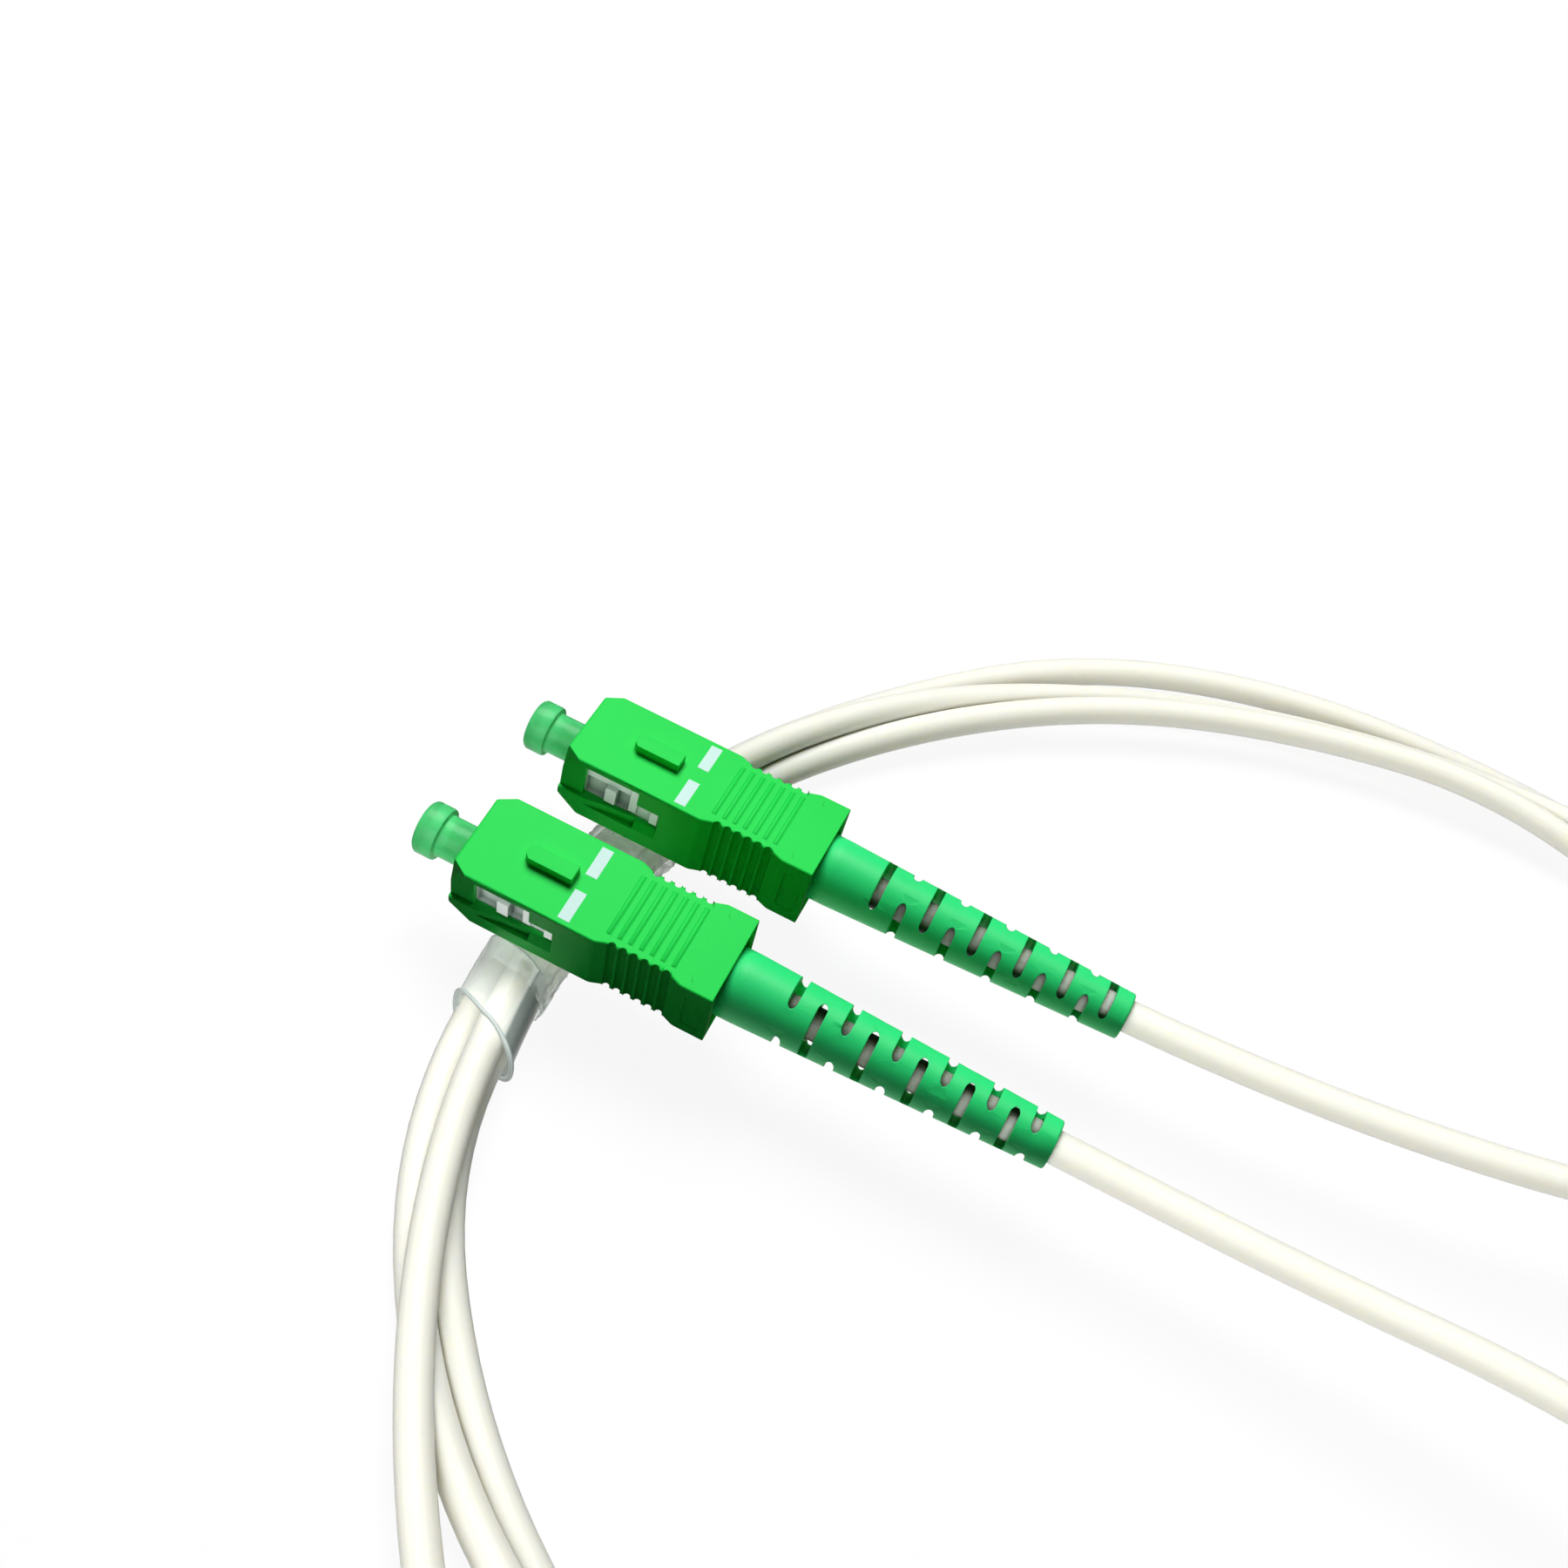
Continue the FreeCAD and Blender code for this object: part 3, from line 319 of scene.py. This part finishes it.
jacket_ivory, nodes, links, shader = finish("jacket_ivory", (0.93, 0.93, 0.87), 0.5)
shader.inputs["Subsurface Weight"].default_value = 0.85
shader.inputs["Subsurface Radius"].default_value = (1.0, 0.9, 0.6)
shader.inputs["Subsurface Scale"].default_value = 0.0014
shader.inputs["Specular IOR Level"].default_value = 0.25
add_mottle(nodes, links, shader, relief=0.00002, Colour=(0.81, 0.805, 0.735, 1),
           Deep_Colour=(0.76, 0.75, 0.65, 1), Drift_Scale=90.0, Drift=0.35,
           Grain_Scale=2600.0, Roughness=0.48, Roughness_Spread=0.25)
# painted shade: the strands are darkened where they touch each other, and the jacket is darkened
# down in the boots' slots, where shade falls
nook_height = nodes.new("ShaderNodeSeparateXYZ")
nook_place = nodes.new("ShaderNodeTexCoord")
in_boot = nodes.new("ShaderNodeMapRange")
in_boot.inputs["From Min"].default_value = RING_TOP
in_boot.inputs["From Max"].default_value = LEADS_FROM
boot_slot_shade = nodes.new("ShaderNodeMix")
boot_slot_occlusion = nodes.new("ShaderNodeAmbientOcclusion")
boot_slot_occlusion.samples = 6
boot_slot_occlusion.inputs["Distance"].default_value = 0.004
links.new(nook_place.outputs["Object"], nook_height.inputs["Vector"])
links.new(nook_height.outputs["Z"], in_boot.inputs["Value"])
links.new(in_boot.outputs["Result"], boot_slot_shade.inputs["Factor"])
links.new(boot_slot_occlusion.outputs["AO"], boot_slot_shade.inputs["B"])
boot_slot_shade.inputs["A"].default_value = 1.0
add_painted_shade(nodes, links, shader, boot_slot_shade.outputs["Result"], tone=(0.03, 0.03, 0.015),
          low=0.22, high=0.72)
add_painted_nook_shade(nodes, links, shader, reach=0.0012, tone=(0.40, 0.37, 0.22), low=0.05, high=0.55)
curve.materials.append(jacket_ivory)

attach(cord_jacket, "root")
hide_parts("cord_lead_front", "cord_lead_back", "cord_coil")

# ---- Tie film ---------------------------------------------------------------------------------
# Soft clear film, wrapped round the ring where the plugs lie on it: a thin crumpled layer that the
# plugs press flat, and in front of them a thicker loose band with both its cut edges showing.
SQUARENESS = 0.86     # below 1, the film's outline is a little squarer than an ellipse
BEAD_SIDES = 10
PRESSED = 0.6
TABLE_GAP = 0.00002
FILM_FLOOR = 0.08     # in millimetres, like FILM_LIFT
FILM_LIFT = 0.05
FOLD_RUN = 1.1
FOLD_SPREAD = 2.4
FOLD_SHARPNESS = 3.0
bead_tree = bpy.data.node_groups.new("bead_along_rim", "GeometryNodeTree")
bead_sockets = {}
for label, kind in (("Geometry", "NodeSocketGeometry"), ("Radius", "NodeSocketFloat"),
                    ("Sides", "NodeSocketInt"), ("Material", "NodeSocketMaterial")):
    bead_sockets[label] = bead_tree.interface.new_socket(
        label, in_out="INPUT", socket_type=kind).identifier
bead_tree.interface.new_socket("Geometry", in_out="OUTPUT", socket_type="NodeSocketGeometry")
given = bead_tree.nodes.new("NodeGroupInput")
rim_path = bead_tree.nodes.new("GeometryNodeMeshToCurve")
cross_section = bead_tree.nodes.new("GeometryNodeCurvePrimitiveCircle")
rolled = bead_tree.nodes.new("GeometryNodeCurveToMesh")
rounded = bead_tree.nodes.new("GeometryNodeSetShadeSmooth")
realized = bead_tree.nodes.new("GeometryNodeRealizeInstances")
coated = bead_tree.nodes.new("GeometryNodeSetMaterial")
made = bead_tree.nodes.new("NodeGroupOutput")
bead_tree.links.new(given.outputs["Geometry"], rim_path.inputs["Mesh"])
bead_tree.links.new(given.outputs["Radius"], cross_section.inputs["Radius"])
bead_tree.links.new(given.outputs["Sides"], cross_section.inputs["Resolution"])
bead_tree.links.new(rim_path.outputs["Curve"], rolled.inputs["Curve"])
bead_tree.links.new(cross_section.outputs["Curve"], rolled.inputs["Profile Curve"])
bead_tree.links.new(rolled.outputs["Mesh"], rounded.inputs["Geometry"])
bead_tree.links.new(rounded.outputs["Geometry"], realized.inputs["Geometry"])
bead_tree.links.new(realized.outputs["Geometry"], coated.inputs["Geometry"])
bead_tree.links.new(given.outputs["Material"], coated.inputs["Material"])
bead_tree.links.new(coated.outputs["Geometry"], made.inputs["Geometry"])


def grown(name, mesh, tree, values):
    """The plain mesh that a geometry tree makes of a mesh; values are by socket identifier."""
    seed = bpy.data.objects.new(name + "_seed", mesh)
    scene.collection.objects.link(seed)
    growth = seed.modifiers.new("growth", "NODES")
    growth.node_group = tree
    for identifier, value in values.items():
        growth[identifier] = value
    bpy.context.view_layer.update()
    evaluated = seed.evaluated_get(bpy.context.evaluated_depsgraph_get())
    result = bpy.data.meshes.new_from_object(evaluated)
    result.name = name
    bpy.data.objects.remove(seed)
    return result


def film_bead(name, rim, radius, proud):
    """A thin closed bead along a rim of the film, where its cut edge is rolled.

    proud is how far its middle stands out of the rim; below 0 it is sunk in."""
    rim = [Vector(place) for place in rim]
    centre = sum(rim, Vector()) / len(rim)
    path = []
    for i, place in enumerate(rim):
        ahead = (rim[(i + 1) % len(rim)] - rim[i - 1]).normalized()
        outward = place - centre
        outward = (outward - ahead * outward.dot(ahead)).normalized()
        spot = place + proud * outward
        path.append((spot.x, spot.y, max(spot.z, radius + TABLE_GAP)))
    loop = bpy.data.meshes.new(name + "_path")
    loop.from_pydata(path, [(i, (i + 1) % len(path)) for i in range(len(path))], [])
    mesh = grown(name, loop, bead_tree, {
        bead_sockets["Radius"]: radius, bead_sockets["Sides"]: BEAD_SIDES,
        bead_sockets["Material"]: film_edge})
    bead = bpy.data.objects.new(name, mesh)
    scene.collection.objects.link(bead)
    pale_pieces.objects.link(bead)
    film_pieces.objects.link(bead)
    bead.visible_shadow = False
    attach(bead, "root")


def film_tube(name, ends, middles, half_widths, tops, slants, crumple, thickness, rows=70, sides=96,
              bead=0.0, shaded_share=0.0):
    """A closed tube round the cords; each pair gives a value at the start and at the end.

    middles, half_widths and tops are in millimetres, ends and slants in degrees round the ring,
    thickness and bead in metres."""
    points, faces = [], []
    for row in range(rows + 1):
        along = row / rows

        def between(pair):
            return pair[0] + (pair[1] - pair[0]) * along
        for side in range(sides):
            angle = 2 * math.pi * side / sides
            out = math.copysign(abs(math.cos(angle)) ** SQUARENESS, math.cos(angle))
            high = math.copysign(abs(math.sin(angle)) ** SQUARENESS, math.sin(angle))
            turn = between(ends) - between(slants) * math.cos(angle)
            folds = noise.noise(Vector(
                (turn * FOLD_RUN + angle, FOLD_SPREAD * out, FOLD_SPREAD * high)))
            ripple = 1 - crumple * max(0.0, 1 - FOLD_SHARPNESS * abs(folds))
            reach = between(middles) + between(half_widths) * out * ripple
            centre = between(tops) / 2 + FILM_LIFT
            height = centre + (centre - FILM_FLOOR) * high * ripple
            turn = math.radians(turn)
            points.append((RING_CENTRE.x + reach / 1000 * math.cos(turn),
                           reach / 1000 * math.sin(turn), height / 1000))
    for row in range(rows):
        for side in range(sides):
            beside = (side + 1) % sides
            faces.append((row * sides + side, row * sides + beside,
                          (row + 1) * sides + beside, (row + 1) * sides + side))
    mesh = bpy.data.meshes.new(name)
    mesh.from_pydata(points, [], faces)
    mesh.shade_smooth()
    for material in (film_clear, film_edge, film_shaded_side, film_edge):
        mesh.materials.append(material)
    # with a bead, the faces on the band's inner side take a darker material, as painted shade
    if bead:
        for face in mesh.polygons:
            if abs(face.index % sides + 0.5 - sides / 2) < sides * shaded_share:
                face.material_index = 2
    tube = bpy.data.objects.new(name, mesh)
    scene.collection.objects.link(tube)
    pale_pieces.objects.link(tube)
    film_pieces.objects.link(tube)
    wall = tube.modifiers.new("wall", "SOLIDIFY")
    wall.thickness = thickness
    wall.offset = 1.0
    wall.material_offset_rim = 1
    tube.visible_shadow = False
    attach(tube, "root")
    if bead:
        # the rear one is thinner and sunk in, because the front plug lies on it
        film_bead(name + "_rear_rim", points[:sides], bead * PRESSED, -bead * PRESSED)
        film_bead(name + "_front_rim", points[-sides:], bead, bead)
    return tube


film_edge, nodes, links, shader = finish("film_edge", (0.80, 0.84, 0.80), 0.4)
shader.inputs["Alpha"].default_value = 0.95
add_mottle(nodes, links, shader, relief=0.00001, Colour=(0.44, 0.49, 0.47, 1),
           Deep_Colour=(0.30, 0.35, 0.33, 1),
           Drift_Scale=500.0, Drift=0.6, Grain_Scale=4000.0, Roughness=0.4, Roughness_Spread=0.2)

# painted shade: the band's side that faces the inside of the ring is darker and more opaque, as the
# shade that falls there
film_shaded_side, nodes, links, shader = finish("film_shaded_side", (0.30, 0.34, 0.32), 0.3)
shader.inputs["Alpha"].default_value = 0.72
add_mottle(nodes, links, shader, relief=0.00001, Colour=(0.26, 0.30, 0.28, 1),
           Deep_Colour=(0.15, 0.18, 0.17, 1),
           Drift_Scale=300.0, Drift=0.7, Grain_Scale=3000.0, Roughness=0.3, Roughness_Spread=0.2)

film_clear, nodes, links, shader = finish("film_clear", (0.78, 0.82, 0.78), 0.22)
edge = nodes.new("ShaderNodeLayerWeight")
edge.inputs["Blend"].default_value = 0.30
creased = nodes.new("ShaderNodeTexNoise")
creased.inputs["Scale"].default_value = 420.0
creased.inputs["Detail"].default_value = 4.0
creased.inputs["Distortion"].default_value = 1.2
where = nodes.new("ShaderNodeTexCoord")
milky = nodes.new("ShaderNodeMapRange")
milky.inputs["To Min"].default_value = 0.08
milky.inputs["To Max"].default_value = 0.80
clouded = nodes.new("ShaderNodeMath")
clouded.operation = "MULTIPLY_ADD"
clouded.inputs[1].default_value = 0.10
relief = nodes.new("ShaderNodeBump")
relief.inputs["Distance"].default_value = 0.00006
links.new(where.outputs["Object"], creased.inputs["Vector"])
links.new(edge.outputs["Facing"], milky.inputs["Value"])
links.new(creased.outputs["Fac"], clouded.inputs[0])
links.new(milky.outputs["Result"], clouded.inputs[2])
links.new(clouded.outputs[0], shader.inputs["Alpha"])
links.new(creased.outputs["Fac"], relief.inputs["Height"])
links.new(relief.outputs["Normal"], shader.inputs["Normal"])

under_film = film_tube("tie_film_under", ends=(169.0, 186.2), middles=(77.05, 78.4),
                       half_widths=(3.9, 3.55), tops=(5.55, 5.7), slants=(0.6, 0.9),
                       crumple=0.07, thickness=0.00008)
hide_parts("bundle_wrap")
film_tube("tie_film_band", ends=(184.6, 190.3), middles=(78.65, 78.68),
          half_widths=(3.38, 3.34), tops=(5.85, 6.2), slants=(1.0, 1.9), crumple=0.0,
          thickness=0.00030, rows=30, bead=0.00018, shaded_share=0.15)

# ---- Coated fibre, guide tube and crimp -------------------------------------------------------
# Inside each boot the jacket stops and the white coated fibre runs on through a pale guide tube.
# The aramid yarn is laid back over the grooved stop, and an aluminium ring is crimped over both.
for slot, name, colour, roughness in (
        ("buffer_fibre", "buffer_white", (0.84, 0.84, 0.81), 0.35),
        ("guide_tube", "guide_clear", (0.78, 0.80, 0.78), 0.3)):
    material, nodes, links, shader = finish(name, colour, roughness)
    shader.inputs["Subsurface Weight"].default_value = 0.3
    shader.inputs["Subsurface Scale"].default_value = 0.0004
    add_mottle(nodes, links, shader, relief=0.000004, Colour=(*colour, 1),
               Deep_Colour=(*[c * 0.86 for c in colour], 1), Drift_Scale=400.0, Drift=0.4,
               Grain_Scale=6000.0, Roughness=roughness, Roughness_Spread=0.12)
    for side in ("front", "back"):
        for socket in frame["nodes"][slot + "_" + side].material_slots:
            socket.material = material

# Turning: fine rings round the plug's length, as a lathe or a drawing die leaves in metal.
turning, given, made = effect(
    "turning",
    [("Colour", "NodeSocketColor", (0.7, 0.7, 0.7, 1)), ("Pitch Scale", "NodeSocketFloat", 9000.0),
     ("Contrast", "NodeSocketFloat", 0.2), ("Roughness", "NodeSocketFloat", 0.25)],
    [("Colour", "NodeSocketColor"), ("Roughness", "NodeSocketFloat"),
     ("Height", "NodeSocketFloat")])
place = turning.nodes.new("ShaderNodeTexCoord")
stretch = turning.nodes.new("ShaderNodeMapping")
stretch.inputs["Scale"].default_value = (1.0, 0.03, 0.03)
rings = turning.nodes.new("ShaderNodeTexNoise")
rings.inputs["Detail"].default_value = 3.0
darker = turning.nodes.new("ShaderNodeMix")
darker.data_type = "RGBA"
darker.blend_type = "MULTIPLY"
tarnish = turning.nodes.new("ShaderNodeMapRange")
tarnish.inputs["To Min"].default_value = 0.55
tarnish.inputs["To Max"].default_value = 1.15
uneven = turning.nodes.new("ShaderNodeMath")
uneven.operation = "MULTIPLY"
turning.links.new(place.outputs["Object"], stretch.inputs["Vector"])
turning.links.new(stretch.outputs["Vector"], rings.inputs["Vector"])
turning.links.new(given.outputs["Pitch Scale"], rings.inputs["Scale"])
turning.links.new(rings.outputs["Fac"], tarnish.inputs["Value"])
turning.links.new(given.outputs["Contrast"], darker.inputs["Factor"])
turning.links.new(given.outputs["Colour"], darker.inputs["A"])
turning.links.new(tarnish.outputs["Result"], darker.inputs["B"])
turning.links.new(tarnish.outputs["Result"], uneven.inputs[0])
turning.links.new(given.outputs["Roughness"], uneven.inputs[1])
turning.links.new(darker.outputs["Result"], made.inputs["Colour"])
turning.links.new(uneven.outputs[0], made.inputs["Roughness"])
turning.links.new(rings.outputs["Fac"], made.inputs["Height"])


def turned_metal(name, colour, roughness, contrast, node):
    """A machined metal with the turning rings, put on one node of each plug."""
    metal, nodes, links, shader = finish(name, colour, roughness)
    shader.inputs["Metallic"].default_value = 1.0
    group = nodes.new("ShaderNodeGroup")
    group.node_tree = turning
    group.inputs["Colour"].default_value = (*colour, 1.0)
    group.inputs["Contrast"].default_value = contrast
    group.inputs["Roughness"].default_value = roughness
    bump = nodes.new("ShaderNodeBump")
    bump.inputs["Distance"].default_value = 0.000006
    links.new(group.outputs["Colour"], shader.inputs["Base Color"])
    links.new(group.outputs["Roughness"], shader.inputs["Roughness"])
    links.new(group.outputs["Height"], bump.inputs["Height"])
    links.new(bump.outputs["Normal"], shader.inputs["Normal"])
    for side in ("front", "back"):
        for socket in frame["nodes"][node + "_" + side].material_slots:
            socket.material = metal


turned_metal("crimp_aluminium", (0.80, 0.80, 0.79), roughness=0.35,
             contrast=0.25, node="crimp_ring")

yarn_yellow, nodes, links, shader = finish("yarn_yellow", (0.78, 0.62, 0.18), 0.7)
shader.inputs["Sheen Weight"].default_value = 0.4
add_mottle(nodes, links, shader, relief=0.00002, Colour=(0.80, 0.64, 0.20, 1),
           Deep_Colour=(0.52, 0.36, 0.07, 1),
           Drift_Scale=900.0, Drift=0.6, Grain_Scale=5000.0, Roughness=0.7, Roughness_Spread=0.2)
for side in ("front", "back"):
    for socket in frame["nodes"]["aramid_yarn_" + side].material_slots:
        socket.material = yarn_yellow

# ---- Spring stop ------------------------------------------------------------------------------
# Nickel-plated brass, turned, with grooves on its barrel that hold the yarn. Two catches on it snap
# into the plug frame's windows.
turned_metal("stop_nickel", (0.72, 0.70, 0.65), roughness=0.24, contrast=0.3, node="spring_stop")

# ---- Spring, ferrule and flange ---------------------------------------------------------------
# A white zirconia ferrule, ground and polished at an angle, is pressed into a notched flange. A
# spring of drawn steel wire pushes both forward in the plug frame.
SAME_PLACE = 2e-6
FLAT_WITHIN = math.radians(0.6)
SHARP_FROM = math.radians(28)
body_of = {}
for body, held in frame["record"]["behaviour"]["bodies"].items():
    for node in held:
        body_of[node] = body


def dressed_copy(node, name, broken_edge, material, ride=True):
    """A merged copy of a CAD node; with a width, its flat faces are whole and its edges broken.

    Without ride, it is put on no body."""
    mesh = frame["nodes"][node].data.copy()
    mesh.name = name
    built = bmesh.new()
    built.from_mesh(mesh)
    bmesh.ops.remove_doubles(built, verts=built.verts, dist=SAME_PLACE)
    if broken_edge:
        bmesh.ops.dissolve_limit(built, angle_limit=FLAT_WITHIN, verts=built.verts,
                                 edges=built.edges)
    built.to_mesh(mesh)
    built.free()
    mesh.materials.clear()
    mesh.materials.append(material)
    mesh.shade_smooth()
    piece = bpy.data.objects.new(name, mesh)
    scene.collection.objects.link(piece)
    if broken_edge:
        edges = piece.modifiers.new("broken_edges", "BEVEL")
        edges.width = broken_edge
        edges.segments = 2
        edges.limit_method = "ANGLE"
        edges.angle_limit = SHARP_FROM
        edges.use_clamp_overlap = False
        flats = piece.modifiers.new("flat_faces", "WEIGHTED_NORMAL")
        flats.weight = 90
    else:
        mesh.set_sharp_from_angle(angle=SHARP_FROM)
    if ride:
        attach(piece, body_of[node])
    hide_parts(node)
    return piece


turned_metal("spring_wire", (0.56, 0.57, 0.58), roughness=0.28, contrast=0.2, node="spring")
for side in ("front", "back"):
    coil = dressed_copy("spring_" + side, "coil_spring_" + side, 0.0,
                        frame["nodes"]["spring_" + side].material_slots[0].material, ride=False)
    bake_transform(coil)

turned_metal("flange_nickel", (0.70, 0.69, 0.66), roughness=0.22,
             contrast=0.3, node="ferrule_flange")

ferrule_ceramic, nodes, links, shader = finish("ferrule_ceramic", (0.90, 0.89, 0.85), 0.12)
shader.inputs["Subsurface Weight"].default_value = 0.2
shader.inputs["Subsurface Scale"].default_value = 0.0005
shader.inputs["Coat Weight"].default_value = 0.3
add_mottle(nodes, links, shader, relief=0.000002, Colour=(0.91, 0.90, 0.86, 1),
           Deep_Colour=(0.84, 0.82, 0.76, 1),
           Drift_Scale=500.0, Drift=0.5, Grain_Scale=9000.0, Roughness=0.13, Roughness_Spread=0.06)
for side in ("front", "back"):
    for socket in frame["nodes"]["ferrule_" + side].material_slots:
        socket.material = ferrule_ceramic

# ---- Plug frame -------------------------------------------------------------------------------
# The white inner body, moulded in slightly milky plastic. It shows through the sleeve's side
# windows, with its post, its pillar and the stop lug that the sleeve runs on.
frame_milky, nodes, links, shader = finish("frame_milky", (0.80, 0.84, 0.82), 0.35)
shader.inputs["Subsurface Weight"].default_value = 0.4
shader.inputs["Subsurface Radius"].default_value = (0.8, 1.0, 0.9)
shader.inputs["Subsurface Scale"].default_value = 0.0006
add_mottle(nodes, links, shader, relief=0.000008, Colour=(0.70, 0.76, 0.73, 1),
           Deep_Colour=(0.60, 0.66, 0.63, 1),
           Drift_Scale=300.0, Drift=0.5, Grain_Scale=5000.0, Roughness=0.35, Roughness_Spread=0.12)
# painted shade in the frame's own recesses and where its parts lie close together
add_painted_nook_shade(nodes, links, shader, reach=0.0018, tone=(0.07, 0.16, 0.10), low=0.15, high=0.90)
for side in ("front", "back"):
    pale_pieces.objects.link(dressed_copy(
        "plug_frame_" + side, "inner_frame_" + side, 0.00005, frame_milky))

# ---- Grip sleeve ------------------------------------------------------------------------------
# The green outer sleeve, moulded in satin plastic, slides on the plug frame. Pale bars are printed
# across its top behind the key; its edges are slightly rounded.
sleeve_green, nodes, links, shader = finish("sleeve_green", (0.035, 0.72, 0.10), 0.34)
shader.inputs["Specular IOR Level"].default_value = 0.26
shader.inputs["Specular Tint"].default_value = (0.15, 0.9, 0.3, 1.0)
add_mottle(nodes, links, shader, relief=0.000007, Colour=(0.020, 0.74, 0.088, 1),
           Deep_Colour=(0.010, 0.63, 0.060, 1),
           Drift_Scale=120.0, Drift=0.45, Grain_Scale=3600.0, Roughness=0.40, Roughness_Spread=0.16)
# painted shade in the sleeve's own grooves and recesses, such as between its ribs
add_painted_nook_shade(nodes, links, shader, reach=0.0007, tone=(0.02, 0.14, 0.04), low=0.1, high=0.8)

bar_print, nodes, links, shader = finish("bar_print", (0.62, 0.86, 0.80), 0.5)
add_mottle(nodes, links, shader, relief=0.000006, Colour=(0.60, 0.85, 0.80, 1),
           Deep_Colour=(0.46, 0.80, 0.68, 1),
           Drift_Scale=900.0, Drift=0.5, Grain_Scale=4200.0, Roughness=0.5, Roughness_Spread=0.2)

SLEEVE_TOP = 0.0037
BAR_LENGTH = 0.0031
BAR_MIDDLE = 0.0024
BAR_THICKNESS = 0.00003
leans = {"front": 10.0, "back": 3.0}
bar_starts = {"front": 0.01015, "back": 0.01095}
BAR_WIDTH = 0.0011
bar_tree = bpy.data.node_groups.new("bars_on_points", "GeometryNodeTree")
bar_sockets = {}
for label, kind in (("Geometry", "NodeSocketGeometry"), ("Size", "NodeSocketVector"),
                    ("Material", "NodeSocketMaterial")):
    bar_sockets[label] = bar_tree.interface.new_socket(
        label, in_out="INPUT", socket_type=kind).identifier
bar_tree.interface.new_socket("Geometry", in_out="OUTPUT", socket_type="NodeSocketGeometry")
given = bar_tree.nodes.new("NodeGroupInput")
bar = bar_tree.nodes.new("GeometryNodeMeshCube")
stamped = bar_tree.nodes.new("GeometryNodeInstanceOnPoints")
realized = bar_tree.nodes.new("GeometryNodeRealizeInstances")
coated = bar_tree.nodes.new("GeometryNodeSetMaterial")
made = bar_tree.nodes.new("NodeGroupOutput")
bar_tree.links.new(given.outputs["Size"], bar.inputs["Size"])
bar_tree.links.new(given.outputs["Geometry"], stamped.inputs["Points"])
bar_tree.links.new(bar.outputs["Mesh"], stamped.inputs["Instance"])
bar_tree.links.new(stamped.outputs["Instances"], realized.inputs["Geometry"])
bar_tree.links.new(realized.outputs["Geometry"], coated.inputs["Geometry"])
bar_tree.links.new(given.outputs["Material"], coated.inputs["Material"])
bar_tree.links.new(coated.outputs["Geometry"], made.inputs["Geometry"])

seats = {}
for mount in frame["record"]["mounts"]:
    for side in ("front", "back"):
        if mount["name"] == "plug_" + side:
            seats[side] = Matrix.Translation(Vector(mount["pos_m"])) @ Matrix.Rotation(
                math.radians(leans[side]), 4, "X")
for side in ("front", "back"):
    dressed_copy("grip_sleeve_" + side, "grip_shell_" + side, 0.00007, sleeve_green)
    middles = bpy.data.meshes.new("bar_middles_" + side)
    middles.from_pydata([(bar_starts[side] + BAR_WIDTH / 2, y, SLEEVE_TOP)
                         for y in (-BAR_MIDDLE, BAR_MIDDLE)], [], [])
    bar_mesh = grown("printed_bars_" + side, middles, bar_tree, {
        bar_sockets["Size"]: (BAR_WIDTH, BAR_LENGTH, BAR_THICKNESS),
        bar_sockets["Material"]: bar_print})
    bar_mesh.transform(seats[side])
    bars = bpy.data.objects.new("printed_bars_" + side, bar_mesh)
    scene.collection.objects.link(bars)
    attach(bars, "grip_" + side)

# ---- Boot -------------------------------------------------------------------------------------
# The tapered bend relief, moulded in soft green elastomer, slotted right through so that it bends.
# Its surface is duller than the sleeve's and a little bluer.
boot_green, nodes, links, shader = finish("boot_green", (0.03, 0.72, 0.20), 0.45)
shader.inputs["Subsurface Weight"].default_value = 0.12
shader.inputs["Subsurface Radius"].default_value = (0.2, 1.0, 0.4)
shader.inputs["Subsurface Scale"].default_value = 0.0006
shader.inputs["Specular IOR Level"].default_value = 0.25
bump = add_mottle(nodes, links, shader, relief=0.00001, Colour=(0.030, 0.84, 0.235, 1),
                  Deep_Colour=(0.018, 0.72, 0.17, 1), Drift_Scale=140.0, Drift=0.45,
                  Grain_Scale=3000.0, Roughness=0.46, Roughness_Spread=0.2)
soft_edge = nodes.new("ShaderNodeBevel")
soft_edge.samples = 6
soft_edge.inputs["Radius"].default_value = 0.00009
links.new(soft_edge.outputs["Normal"], bump.inputs["Normal"])
for side in ("front", "back"):
    bounced_pieces.objects.link(dressed_copy(
        "boot_" + side, "bend_relief_" + side, 0.0, boot_green))

# ---- Dust cap ---------------------------------------------------------------------------------
# A thin clear green cap, pushed over the ferrule; the white ferrule shows through its tube.
cap_clear, nodes, links, shader = finish("cap_clear", (0.30, 0.92, 0.48), 0.18)
shader.inputs["Transmission Weight"].default_value = 0.46
shader.inputs["IOR"].default_value = 1.25
shader.inputs["Subsurface Weight"].default_value = 0.5
shader.inputs["Subsurface Radius"].default_value = (0.3, 1.0, 0.5)
shader.inputs["Subsurface Scale"].default_value = 0.001
add_mottle(nodes, links, shader, relief=0.000004, Colour=(0.10, 0.66, 0.23, 1),
           Deep_Colour=(0.05, 0.55, 0.15, 1),
           Drift_Scale=420.0, Drift=0.35, Grain_Scale=1800.0, Roughness=0.34, Roughness_Spread=0.12)
for side in ("front", "back"):
    pale_pieces.objects.link(dressed_copy(
        "dust_cap_" + side, "clear_cap_" + side, 0.00012, cap_clear))

for piece in scene.collection.objects:
    if piece.type in ("MESH", "CURVE") and piece is not table_top:
        all_pieces.objects.link(piece)
for piece in frame["nodes"].values():
    if piece.name not in all_pieces.objects:
        all_pieces.objects.link(piece)
